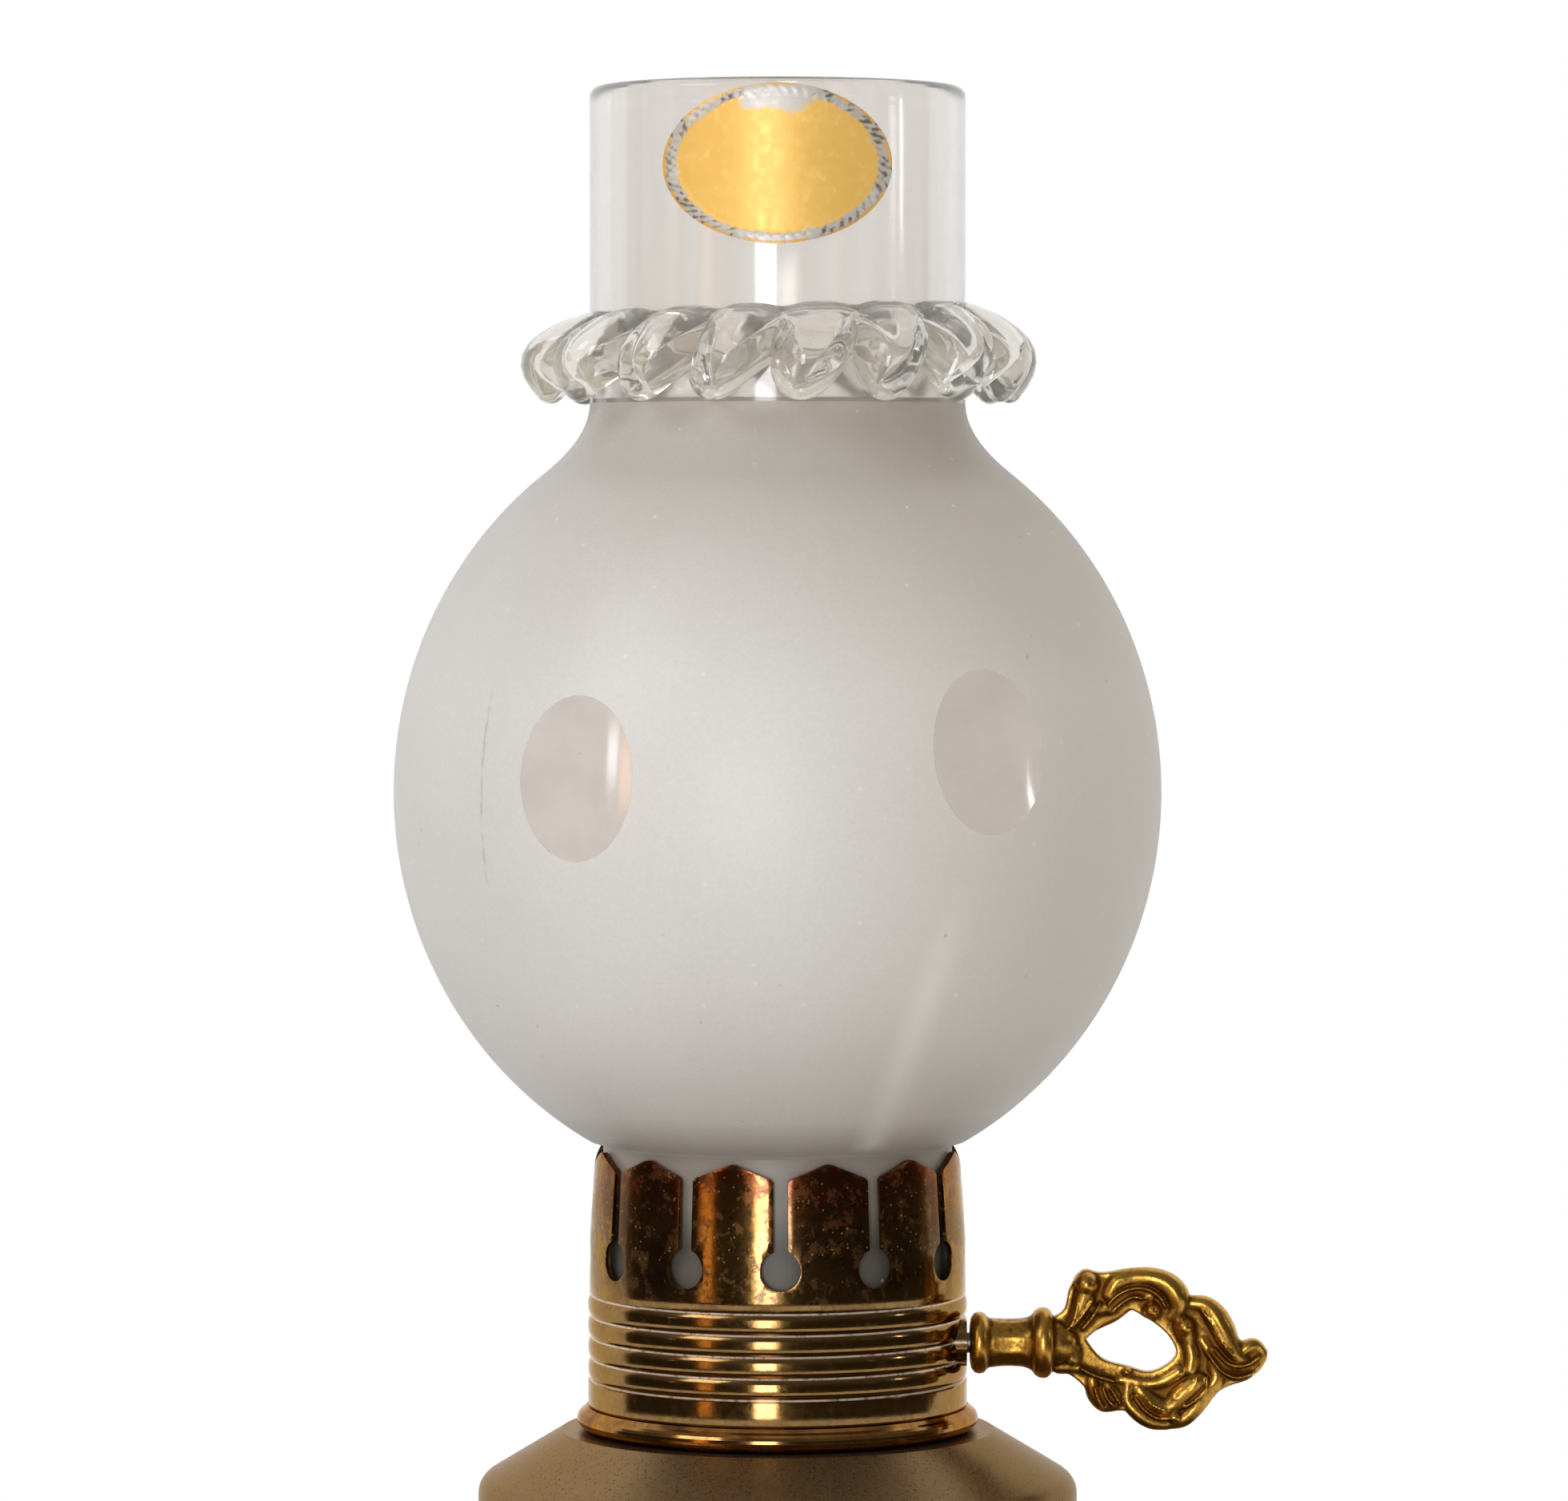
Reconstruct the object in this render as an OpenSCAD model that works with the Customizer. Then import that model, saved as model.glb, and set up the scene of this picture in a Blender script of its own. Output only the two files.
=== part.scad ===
// Ashtray lamp: a small oil lamp that stands in the middle of its ashtray.
// Millimetres, +Z up. The origin is the centre of the face that it stands on.
// The front is -Y and the wick key points to +X.

/* [Ashtray dish] */
// Outer diameter over the rolled rim
dish_d = 120; // [112:1:130]
// Height of the rim above the felt
dish_h = 12.8; // [11.5:0.1:13.4]
// Thickness of the dish's sheet
dish_sheet = 1.2; // [0.8:0.1:1.4]
// Diameter of the flat floor where ash collects
dish_floor_d = 94; // [88:1:98]
// Diameter of the raised platform that carries the font
platform_d = 60; // [56:1:62]
// Height of the hollow under the platform
platform_rise = 3.6; // [3.4:0.1:4.6]
// Thickness of the roll along the rim
rim_bead_d = 3.2; // [2.6:0.1:3.6]
// Number of cigarette rests round the rim
rest_count = 4; // [2:1:6]
// Inside width of a cigarette rest
rest_w = 8.2; // [7.6:0.1:9]
// Sheet thickness of a cigarette rest
rest_sheet = 0.6; // [0.4:0.1:0.8]
// Length of a cigarette rest along its trough
rest_l = 10; // [8:0.5:12]
// Diameter of the felt disc
pad_d = 88; // [80:1:92]
// Thickness of the felt disc
pad_t = 1.2; // [0.8:0.1:2]

/* [Fixing under the dish] */
// Thread diameter of the stud that holds the font to the dish
stud_d = 4; // [3:0.5:5]
// Clearance of the stud in the dish and the foot ring, on the radius
stud_gap = 0.2; // [0.1:0.05:0.4]
// Width of the hexagon nut across its flats
nut_w = 7; // [6.5:0.5:9]
// Height of the hexagon nut
nut_h = 2.2; // [1.6:0.1:2.4]
// Outer diameter of the washer
washer_d = 13; // [11:0.5:16]
// Thickness of the washer
washer_t = 0.8; // [0.5:0.1:1]

/* [Font] */
// Diameter of the font's straight side
font_d = 59.1; // [56:0.1:62]
// Height of the font from its underside to its top land
font_h = 22.1; // [20:0.1:26]
// Sheet thickness of the font
font_sheet = 0.8; // [0.6:0.1:1.2]
// Radius of the round at the bottom of the font
font_round = 6; // [4:0.5:7]
// Height of the soldered seam above the round at the font's bottom
seam_rise = 3.5; // [3:0.5:5]
// Height of the lap inside the seam
lap_h = 2; // [1:0.5:3]
// Width of the flat land that shows round the collar's flange
land_out = 1.5; // [1:0.1:2.2]
// Fall of the shoulder, in degrees below level
shoulder_slope = 31.2; // [26:0.1:34]
// Radius of the round between shoulder and side
shoulder_round = 2.2; // [1.8:0.1:3]
// Outer diameter of the foot ring
foot_d = 50; // [46:1:52]
// Inner diameter of the foot ring
foot_bore = 38; // [30:1:40]
// Height of the foot ring
foot_h = 1.5; // [1:0.1:2.5]

/* [Collar] */
// How far the collar's rounded flange stands out past the gallery
collar_out = 1.1; // [0.9:0.1:1.6]
// Height of the collar above the land
collar_h = 2.4; // [2:0.1:3]
// Bore that the burner screws into
collar_bore = 29.2; // [28:0.1:29.6]
// Wall of the collar's spigot in the font
spigot_wall = 1.3; // [1:0.1:1.6]
// Depth of the collar's spigot below the land
spigot_l = 3.6; // [3:0.1:4.5]

/* [Burner gallery] */
// Diameter of the plain band at the bottom
band_d = 37.4; // [37:0.1:37.8]
// Height of the plain band
band_h = 2.7; // [2.2:0.1:3.2]
// Number of ribs above the plain band
rib_count = 4; // [3:1:4]
// Pitch of the ribs
rib_pitch = 2.08; // [1.9:0.02:2.1]
// Depth of the grooves between the ribs
groove_depth = 0.3; // [0.2:0.05:0.35]
// Sheet thickness of the gallery
gallery_sheet = 0.55; // [0.5:0.05:0.6]
// How far the finger tips lean in from the band, on the radius
tip_lean = 0.65; // [0.5:0.05:1]
// Gap between the finger tips and the globe above them
tip_gap = 0.7; // [0.5:0.1:1.5]
// Height of the gable on each finger
gable_h = 1.7; // [1:0.1:2.5]
// Number of fingers
finger_count = 12; // [10:1:14]
// Width of the slots between the fingers
slot_w = 1.45; // [1:0.05:2]
// Diameter of the round hole at the foot of each slot
keyhole_d = 3.9; // [3:0.1:4.4]
// Height of those holes above the collar
keyhole_rise = 15.2; // [14:0.1:16]
// Turn of the row of slots from the front, in degrees
slot_turn = 1; // [0:0.5:15]

/* [Burner inside] */
// Thickness of the burner's base plate
plate_t = 0.6; // [0.4:0.1:0.8]
// Wall of the threaded neck
neck_wall = 0.9; // [0.8:0.1:1.2]
// Length of the threaded neck below the base plate
neck_l = 5; // [4:0.5:6]
// Depth of the thread
thread_depth = 0.35; // [0.2:0.05:0.4]
// Pitch of the thread
thread_pitch = 1.25; // [1:0.05:1.5]
// Running clearance of the threaded neck in the collar, on the radius
neck_gap = 0.08; // [0.06:0.01:0.1]
// Space between the feed wheels and the air plate above them
deck_gap = 0.8; // [0.6:0.1:1.6]
// Thickness of the air plate
deck_t = 0.8; // [0.6:0.1:1]
// Diameter of the air holes
air_hole_d = 2; // [1.4:0.1:2.4]
// Number of air holes
air_hole_count = 14; // [10:2:16]
// Space between the flame dome and the glass round it
dome_gap = 1.2; // [0.9:0.1:2]
// Sheet thickness of the flame dome
dome_sheet = 0.5; // [0.4:0.1:0.7]
// Height of the dome's straight skirt
dome_skirt_h = 3; // [2:0.5:4]
// Clearance round the wick in the dome's slot
dome_slot_gap = 1.5; // [1:0.1:2]
// Solder gap between pieces that are joined for good
joint_gap = 0.03; // [0.02:0.01:0.05]

/* [Wick] */
// Width of the flat wick
wick_w = 11; // [9:0.5:12]
// Thickness of the flat wick
wick_t = 2; // [1.6:0.1:2.4]
// Clearance of the wick in its tube
wick_gap = 0.3; // [0.2:0.05:0.4]
// Wall of the wick tube
wick_tube_wall = 0.4; // [0.3:0.05:0.6]
// Height of the wick tube above the air plate
wick_tube_rise = 12; // [10:0.5:12.5]
// Height of the wick above its tube at rest
wick_show = 2; // [1:0.5:3]
// How far the key can lower the wick from rest
wick_down = 8; // [6:0.5:8]
// Space kept between the lowered wick and the font's floor
wick_floor_gap = 1.2; // [0.8:0.1:2]

/* [Wick key] */
// Height of the key's axis above the collar
key_rise = 6.6; // [6.2:0.1:7]
// Diameter of the key's spindle
spindle_d = 2; // [1.6:0.1:2.4]
// Running clearance of the spindle in its bearings, on the radius
spindle_gap = 0.05; // [0.03:0.01:0.08]
// Radius of the toothed wheels over their teeth
wheel_r = 3; // [2.6:0.1:3.2]
// Number of teeth on a wheel
wheel_teeth = 10; // [8:1:12]
// Depth of those teeth
tooth_depth = 0.7; // [0.5:0.1:0.8]
// Thickness of a wheel
wheel_t = 1.2; // [0.8:0.1:1.6]
// Distance between the two wheels, centre to centre
wheel_spread = 6.4; // [5:0.1:7]
// Outer diameter of the bush in the gallery wall
bush_d = 4.6; // [4:0.1:5]
// Diameter of the bush's flange inside the wall
bush_flange_d = 6; // [5.4:0.1:6.4]
// Thickness of that flange
bush_flange_t = 0.6; // [0.4:0.1:0.8]
// Thickness of the inner bearing bracket
bracket_t = 1; // [0.8:0.1:1.4]
// Width of the inner bearing bracket
bracket_w = 5; // [4.5:0.1:6]
// Distance of the bracket from the lamp's axis
bracket_x = 10.5; // [9.5:0.5:12]
// How far the bush stands out of the gallery wall
bush_show = 0.35; // [0.2:0.05:0.6]
// Gap between the bush and the key
key_gap = 0.3; // [0.3:0.05:0.6]
// How far the spindle runs on past the bracket
spindle_tail = 1; // [0.5:0.1:2]
// Diameter of the key's first bead
bead_d = 6.1; // [5.4:0.1:6.6]
// Diameter of the key's waist
waist_d = 4.9; // [4.4:0.1:5.2]
// Diameter of the key's second bead
second_bead_d = 7; // [6.6:0.1:7.4]
// Length of the key's turned stem over both beads
stem_l = 8.2; // [7.6:0.1:9]
// Depth of the spindle's socket in the key
socket_l = 5; // [3:0.5:6]
// Thickness of the key's openwork head
head_t = 3.4; // [2.6:0.1:4]

/* [Glass chimney] */
// Outer diameter of the clear neck tube
neck_d = 36.9; // [35:0.1:38]
// Height of the clear neck from the flare to the lip
neck_h = 31; // [28:0.5:36]
// Thickness of the glass
glass_wall = 2; // [1.6:0.1:2.4]
// Clearance of the glass fitter inside the finger tips, on the radius
fitter_gap = 0.3; // [0.3:0.05:0.5]
// Height of the glass fitter from its foot to the globe
fitter_h = 15.1; // [14:0.1:17]
// Widest diameter of the globe
globe_d = 75.5; // [70:0.1:80]
// Height of the globe as a full oval
globe_h = 78.8; // [74:0.1:80]
// How far the globe stands out over its fitter, on the radius
globe_step = 1.5; // [1:0.1:2]
// Diameter at which the globe turns into the flare of the neck
flare_d = 45.9; // [43:0.1:48]
// Height over which the flare eases into the straight neck
flare_ease = 3.3; // [2.5:0.1:4]
// Number of ground windows
window_count = 5; // [3:1:6]
// Diameter of a ground window
window_d = 16.1; // [12:0.1:18]
// Height of the windows above the globe's centre
window_rise = 3.8; // [0:0.1:8]
// How far the hand-cut windows stray up and down
window_stray = 1.15; // [0:0.05:2]

/* [Glass frill and label] */
// How far the frill stands out from the neck
frill_reach = 7.15; // [6.5:0.05:8]
// Height of the frill over its folds
frill_h = 10; // [9:0.1:11]
// Number of folds round the frill
fold_count = 20; // [16:1:24]
// Width of the foil label
label_w = 22; // [18:0.1:24]
// Height of the foil label
label_h = 15.3; // [12:0.1:17]
// Thickness of the foil label
label_t = 0.2; // [0.15:0.01:0.3]
// Distance from the lip down to the label's upper edge
label_gap = 0.65; // [0.6:0.05:3]

/* [Hidden] */
$fn = 96;

// Margin by which a cutter passes the face that it cuts
cut = 1;

// Colours as the eye sees them
bronze_tone = [0.45, 0.36, 0.27];
brass_tone = [0.79, 0.65, 0.36];
dark_brass_tone = [0.62, 0.48, 0.26];
gilt_tone = [0.80, 0.62, 0.24];
steel_tone = [0.66, 0.66, 0.65];
felt_tone = [0.13, 0.24, 0.17];
wick_tone = [0.93, 0.90, 0.82];
frosted_tone = [0.78, 0.76, 0.73, 0.9];
clear_tone = [0.82, 0.84, 0.82, 0.6];
foil_tone = [0.94, 0.76, 0.38];

// Heights of the stack, from the table upwards
platform_z = pad_t + platform_rise + dish_sheet;
font_z = platform_z + foot_h;
land_z = font_z + font_h;
collar_z = land_z + collar_h;
key_z = collar_z + key_rise;
deck_z = key_z + wheel_r + deck_gap + deck_t;
joint_z = deck_z + fitter_h;
tip_z = joint_z - tip_gap;
rim_z = pad_t + dish_h;
seam_z = font_z + font_round + seam_rise;

// Radii that several pieces share
font_r = font_d / 2;
band_r = band_d / 2;
collar_r = band_r + collar_out;
land_r = collar_r + land_out;
bore_r = collar_bore / 2;
spigot_r = bore_r + spigot_wall;
shell_r = band_r - gallery_sheet - groove_depth / 2;
tip_r = band_r - tip_lean;
fitter_r = tip_r - gallery_sheet - fitter_gap;
dome_r = fitter_r - glass_wall - dome_gap;
neck_r = neck_d / 2;
globe_r = globe_d / 2;
stud_r = stud_d / 2;

// Wick tube, and the spindle that runs in front of it
tube_in_w = wick_w + 2 * wick_gap;
tube_in_t = wick_t + 2 * wick_gap;
tube_w = tube_in_w + 2 * wick_tube_wall;
tube_t = tube_in_t + 2 * wick_tube_wall;
key_y = -(tube_in_t / 2 + wheel_r);
tube_top_z = deck_z + wick_tube_rise;
wick_top_z = tube_top_z + wick_show;
wick_foot_z = font_z + font_sheet + wick_floor_gap + wick_down;

// Places along the spindle
wall_x = sqrt(pow(band_r, 2) - pow(key_y, 2));
bush_end_x = wall_x + bush_show;
key_x = bush_end_x + key_gap;
spindle_tail_x = -(bracket_x + bracket_t + spindle_tail);

// Points on part of an oval about (cr, cz), with half axes a and b, from angle a0 to a1
function oval_arc(cr, cz, a, b, a0, a1, n) =
    [for (i = [0:n]) let (t = a0 + (a1 - a0) * i / n) [cr + a * cos(t), cz + b * sin(t)]];

// Points on a curve from p to r that leaves p and meets r along the lines through q
function bend(p, q, r, n) =
    [for (i = [0:n]) let (t = i / n) pow(1 - t, 2) * p + 2 * t * (1 - t) * q + pow(t, 2) * r];

// Closed smooth curve through hand-placed points, with n steps between each two
function loop_curve(p, n) =
    let (m = len(p))
    [for (i = [0:m - 1], k = [0:n - 1])
        let (t = k / n, a = p[(i + m - 1) % m], b = p[i], c = p[(i + 1) % m], d = p[(i + 2) % m])
        0.5 * (2 * b + t * (c - a) + t * t * (2 * a - 5 * b + 4 * c - d)
            + t * t * t * (3 * b - a - 3 * c + d))];

// Points in the other order, for the way back along a wall
function backwards(p) = [for (i = [len(p) - 1:-1:0]) p[i]];

module ring(outer_r, inner_r, h) {
    difference() {
        cylinder(r = outer_r, h = h);
        translate([0, 0, -cut])
            cylinder(r = inner_r, h = h + 2 * cut);
    }
}

// Flat bar with round ends, w wide and t thick, as the wick and its tube are
module oblong(w, t) {
    square([w - t, t], center = true);
    for (side = [-1, 1])
        translate([side * (w - t) / 2, 0])
            circle(d = t, $fn = 48);
}

// Cylinder along X, from x upwards
module bar_x(r, x, l) {
    translate([x, 0, 0])
        rotate([0, 90, 0])
            cylinder(r = r, h = l, $fn = 48);
}

/* Ashtray dish */

bead_r = rim_bead_d / 2;
wall_foot_r = dish_floor_d / 2;
wall_out = dish_d / 2 - bead_r - wall_foot_r + dish_sheet / 2;
wall_up = dish_h - bead_r;
ramp = platform_rise;

module dish_section() {
    platform_r = platform_d / 2;
    hole_r = stud_r + stud_gap;
    lean = dish_sheet * tan(22.5);
    under = concat(
        [[hole_r, platform_z - dish_sheet], [platform_r - lean, platform_z - dish_sheet],
         [platform_r + ramp - lean, pad_t]],
        oval_arc(wall_foot_r, pad_t + wall_up, wall_out, wall_up, -90, 0, 14));
    over = concat(
        [[hole_r, platform_z], [platform_r, platform_z],
         [platform_r + ramp, pad_t + dish_sheet]],
        oval_arc(wall_foot_r, pad_t + wall_up, wall_out - dish_sheet, wall_up - dish_sheet, -90, 0, 14));
    polygon(concat(under, backwards(over)));
    translate([dish_d / 2 - bead_r, rim_z - bead_r])
        circle(r = bead_r, $fn = 48);
}

// Round bar through the rim at each cigarette rest
module rest_bars(r, inner_end, outer_end) {
    for (i = [0:rest_count - 1])
        rotate([0, 0, 360 * i / rest_count])
            translate([0, 0, rim_z])
                bar_x(r, inner_end, outer_end - inner_end);
}

module ashtray_dish() {
    color(bronze_tone)
    difference() {
        rotate_extrude()
            dish_section();
        rest_bars(rest_w / 2 + rest_sheet + joint_gap, dish_d / 2 - rest_l - cut, dish_d / 2 + cut);
    }
}

module cigarette_rests() {
    outer_end = dish_d / 2;
    inner_end = outer_end - rest_l;
    color(brass_tone)
    difference() {
        rest_bars(rest_w / 2 + rest_sheet, inner_end, outer_end);
        rest_bars(rest_w / 2, inner_end - cut, outer_end + cut);
        translate([0, 0, rim_z])
            cylinder(r = dish_d, h = rest_w);
    }
}

module base_pad() {
    color(felt_tone)
    cylinder(d = pad_d, h = pad_t);
}

/* Fixing under the dish */

washer_z = platform_z - dish_sheet - washer_t;

module stud_washer() {
    color(steel_tone)
    translate([0, 0, washer_z])
        ring(washer_d / 2, stud_r + stud_gap, washer_t);
}

module stud_nut() {
    color(brass_tone)
    translate([0, 0, washer_z - nut_h])
    difference() {
        cylinder(d = nut_w / cos(30), h = nut_h, $fn = 6);
        translate([0, 0, -cut])
            cylinder(r = stud_r + joint_gap, h = nut_h + 2 * cut);
    }
}

/* Font */

module foot_ring() {
    belly = foot_h / 2;
    color(brass_tone)
    rotate_extrude() {
        translate([foot_bore / 2, platform_z])
            square([foot_d / 2 - belly - foot_bore / 2, foot_h]);
        translate([foot_d / 2 - belly, platform_z + belly])
            circle(r = belly, $fn = 32);
    }
}

module font_stud() {
    flange_r = stud_r + 3;
    flange_h = foot_h - 0.3;
    color(brass_tone) {
        translate([0, 0, font_z - flange_h])
            cylinder(r = flange_r, h = flange_h);
        translate([0, 0, washer_z - nut_h])
            cylinder(r = stud_r, h = font_z - washer_z + nut_h - flange_h);
    }
}

module font_lower_shell() {
    side_r = font_r - font_sheet;
    lap_r = side_r - joint_gap;
    color(bronze_tone)
    rotate_extrude()
        polygon(concat(
            [[0, font_z]],
            oval_arc(font_r - font_round, font_z + font_round, font_round, font_round, -90, 0, 10),
            [[font_r, seam_z], [lap_r, seam_z], [lap_r, seam_z + lap_h],
             [lap_r - font_sheet, seam_z + lap_h], [lap_r - font_sheet, seam_z - lap_h],
             [side_r, seam_z - lap_h - font_sheet / 2]],
            oval_arc(font_r - font_round, font_z + font_round, font_round - font_sheet,
                     font_round - font_sheet, 0, -90, 10),
            [[0, font_z + font_sheet]]));
}

// Outline of the shoulder, moved inwards by the amount o
function shoulder_line(o) =
    let (mid_r = font_r - shoulder_round,
         touch_r = mid_r + shoulder_round * sin(shoulder_slope),
         touch_z = land_z - (touch_r - land_r) * tan(shoulder_slope),
         mid_z = touch_z - shoulder_round * cos(shoulder_slope),
         bend_r = shoulder_round - o,
         in_r = mid_r + bend_r * sin(shoulder_slope),
         in_z = mid_z + bend_r * cos(shoulder_slope))
    concat(
        [[spigot_r + joint_gap, land_z - o],
         [in_r - (land_z - o - in_z) / tan(shoulder_slope), land_z - o]],
        oval_arc(mid_r, mid_z, bend_r, bend_r, 90 - shoulder_slope, 0, 8),
        [[font_r - o, seam_z]]);

module font_upper_shell() {
    color(bronze_tone)
    rotate_extrude()
        polygon(concat(shoulder_line(0), backwards(shoulder_line(font_sheet))));
}

module font_collar() {
    roll_w = 1.5;
    roll_h = collar_h * 0.48;
    lip_r = band_r + 0.15;
    color(brass_tone)
    rotate_extrude()
        polygon(concat(
            [[bore_r, land_z - spigot_l], [spigot_r, land_z - spigot_l], [spigot_r, land_z]],
            oval_arc(collar_r - roll_w, land_z + roll_h, roll_w, roll_h, -90, 55, 10),
            [[lip_r, collar_z], [bore_r, collar_z]]));
}

/* Burner */

// One rib: a low round swelling from height z up to the next groove
function rib(z) =
    [for (i = [0:6]) [band_r - groove_depth * pow(1 - 2 * i / 6, 2), z + rib_pitch * i / 6]];

rib_z = collar_z + band_h;
rib_top_z = rib_z + rib_count * rib_pitch;
taper_z = collar_z + keyhole_rise + keyhole_d / 4;
finger_r = band_r - 0.15;

module gallery_section() {
    ribs = [for (i = [0:rib_count - 1], p = rib(rib_z + i * rib_pitch)) p];
    polygon(concat(
        [[shell_r, collar_z], [band_r, collar_z], [band_r, rib_z - 0.2]],
        ribs,
        [[finger_r, rib_top_z + 0.2], [finger_r, taper_z], [tip_r, tip_z],
         [tip_r - gallery_sheet, tip_z], [shell_r, taper_z]]));
}

// Keyhole slot with the two slopes of the gables beside it, seen from outside
module slot_outline() {
    half_pitch = tip_r * tan(180 / finger_count);
    gable_z = tip_z - gable_h;
    hole_z = collar_z + keyhole_rise;
    translate([0, hole_z])
        circle(d = keyhole_d, $fn = 48);
    translate([-slot_w / 2, hole_z])
        square([slot_w, tip_z - hole_z + cut]);
    polygon([[-slot_w / 2, gable_z], [slot_w / 2, gable_z], [half_pitch, tip_z],
             [half_pitch, tip_z + cut], [-half_pitch, tip_z + cut], [-half_pitch, tip_z]]);
}

module burner_gallery() {
    color(brass_tone)
    difference() {
        rotate_extrude()
            gallery_section();
        for (i = [0:finger_count - 1])
            rotate([0, 0, slot_turn + 360 * i / finger_count])
                translate([0, -shell_r / 2, 0])
                    rotate([90, 0, 0])
                        linear_extrude(height = band_r)
                            slot_outline();
        translate([0, key_y, key_z])
            bar_x(bush_d / 2 + joint_gap, shell_r / 2, band_r);
    }
}

neck_out_r = bore_r - neck_gap;
neck_in_r = neck_out_r - thread_depth - neck_wall;

module burner_base_plate() {
    color(dark_brass_tone)
    translate([0, 0, collar_z])
        ring(shell_r - joint_gap, neck_out_r - thread_depth + joint_gap, plate_t);
}

module burner_screw_neck() {
    core_r = neck_out_r - thread_depth;
    turns = floor((neck_l - 0.6) / thread_pitch);
    color(dark_brass_tone)
    difference() {
        union() {
            translate([0, 0, collar_z - neck_l])
                cylinder(r = core_r, h = neck_l + plate_t);
            for (i = [0:turns - 1])
                translate([0, 0, collar_z - neck_l + 0.4 + i * thread_pitch])
                    cylinder(r = neck_out_r, h = thread_pitch / 2);
        }
        translate([0, 0, collar_z - neck_l - cut])
            cylinder(r = neck_in_r, h = neck_l + plate_t + 2 * cut);
    }
}

module air_plate() {
    plate_r = shell_r - joint_gap;
    notch_r = 1.5;
    edge = 0.6;
    hole_ring_r = dome_r - dome_sheet - edge - air_hole_d / 2;
    color(dark_brass_tone)
    translate([0, 0, deck_z - deck_t])
    difference() {
        cylinder(r = plate_r, h = deck_t);
        translate([0, 0, -cut])
            linear_extrude(height = deck_t + 2 * cut)
                oblong(tube_w + 2 * joint_gap, tube_t + 2 * joint_gap);
        for (i = [0:air_hole_count - 1])
            rotate([0, 0, 360 * (i + 0.5) / air_hole_count])
                translate([hole_ring_r, 0, -cut])
                    cylinder(d = air_hole_d, h = deck_t + 2 * cut, $fn = 32);
        for (i = [0:finger_count - 1])
            rotate([0, 0, slot_turn - 90 + 360 * i / finger_count])
                translate([plate_r, 0, -cut])
                    cylinder(r = notch_r, h = deck_t + 2 * cut, $fn = 32);
    }
}

module wick_tube() {
    foot_z = collar_z - neck_l;
    window_h = 2 * wheel_r + 1;
    color(dark_brass_tone)
    difference() {
        translate([0, 0, foot_z])
            linear_extrude(height = tube_top_z - foot_z)
                difference() {
                    oblong(tube_w, tube_t);
                    oblong(tube_in_w, tube_in_t);
                }
        for (side = [-1, 1])
            translate([side * wheel_spread / 2 - wheel_t / 2 - 0.4, -tube_t, key_z - window_h / 2])
                cube([wheel_t + 0.8, tube_t, window_h]);
    }
}

module flame_dome() {
    in_r = dome_r - dome_sheet;
    slot_l = wick_w + 2 * dome_slot_gap;
    slot_t = wick_t + 2 * dome_slot_gap;
    curve_z = deck_z + dome_skirt_h;
    color(brass_tone)
    difference() {
        rotate_extrude()
            polygon(concat(
                [[in_r, deck_z], [dome_r, deck_z]],
                oval_arc(0, curve_z, dome_r, dome_r, 0, 90, 14),
                oval_arc(0, curve_z, in_r, in_r, 90, 0, 14)));
        translate([0, 0, curve_z])
            linear_extrude(height = dome_r + cut)
                oblong(slot_l, slot_t);
    }
}

module spindle_bush() {
    flange_x = sqrt(pow(shell_r, 2) - pow(-key_y + bush_flange_d / 2, 2)) - bush_flange_t - 0.05;
    color(dark_brass_tone)
    translate([0, key_y, key_z])
    difference() {
        union() {
            bar_x(bush_flange_d / 2, flange_x, bush_flange_t);
            bar_x(bush_d / 2, flange_x, bush_end_x - flange_x);
        }
        bar_x(spindle_d / 2 + spindle_gap, flange_x - cut, band_r);
    }
}

module spindle_bracket() {
    eye_r = bracket_w / 2;
    color(dark_brass_tone)
    difference() {
        union() {
            translate([0, key_y, key_z])
                bar_x(eye_r, -bracket_x - bracket_t, bracket_t);
            translate([-bracket_x - bracket_t, key_y - eye_r, key_z])
                cube([bracket_t, bracket_w, deck_z - deck_t - key_z]);
        }
        translate([0, key_y, key_z])
            bar_x(spindle_d / 2 + spindle_gap, -bracket_x - bracket_t - cut, bracket_t + 2 * cut);
    }
}

/* Wick key, its spindle and wheels */

module key_spindle() {
    color(steel_tone)
    translate([0, key_y, key_z])
        bar_x(spindle_d / 2, spindle_tail_x, key_x + socket_l - spindle_tail_x);
}

module feed_wheels() {
    root_r = wheel_r - tooth_depth;
    tooth_w = 0.9 * 2 * root_r * sin(180 / wheel_teeth);
    color(steel_tone)
    for (side = [-1, 1])
        translate([side * wheel_spread / 2 - wheel_t / 2, key_y, key_z])
            rotate([0, 90, 0])
            difference() {
                linear_extrude(height = wheel_t) {
                    circle(r = root_r);
                    for (i = [0:wheel_teeth - 1])
                        rotate(360 * i / wheel_teeth)
                            polygon([[root_r / 2, -tooth_w / 2], [root_r, -tooth_w / 2],
                                     [wheel_r, -tooth_w / 6], [wheel_r, tooth_w / 6],
                                     [root_r, tooth_w / 2], [root_r / 2, tooth_w / 2]]);
                }
                translate([0, 0, -cut])
                    cylinder(r = spindle_d / 2, h = wheel_t + 2 * cut, $fn = 48);
            }
}

// Turned stem of the key along its own axis: bead, hollow waist, bead
module stem_section() {
    bead_w = 1.9;
    second_w = 2;
    bead_out = bead_d / 2;
    second_out = second_bead_d / 2;
    waist_out = waist_d / 2;
    polygon(concat(
        [[0, 0]],
        oval_arc(waist_out, bead_w / 2, bead_out - waist_out, bead_w / 2, -90, 90, 10),
        bend([waist_out, bead_w], [waist_out * 0.94, stem_l / 2], [waist_out, stem_l - second_w], 8),
        oval_arc(waist_out, stem_l - second_w / 2, second_out - waist_out, second_w / 2, -90, 90, 10),
        [[0, stem_l]]));
}

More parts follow.
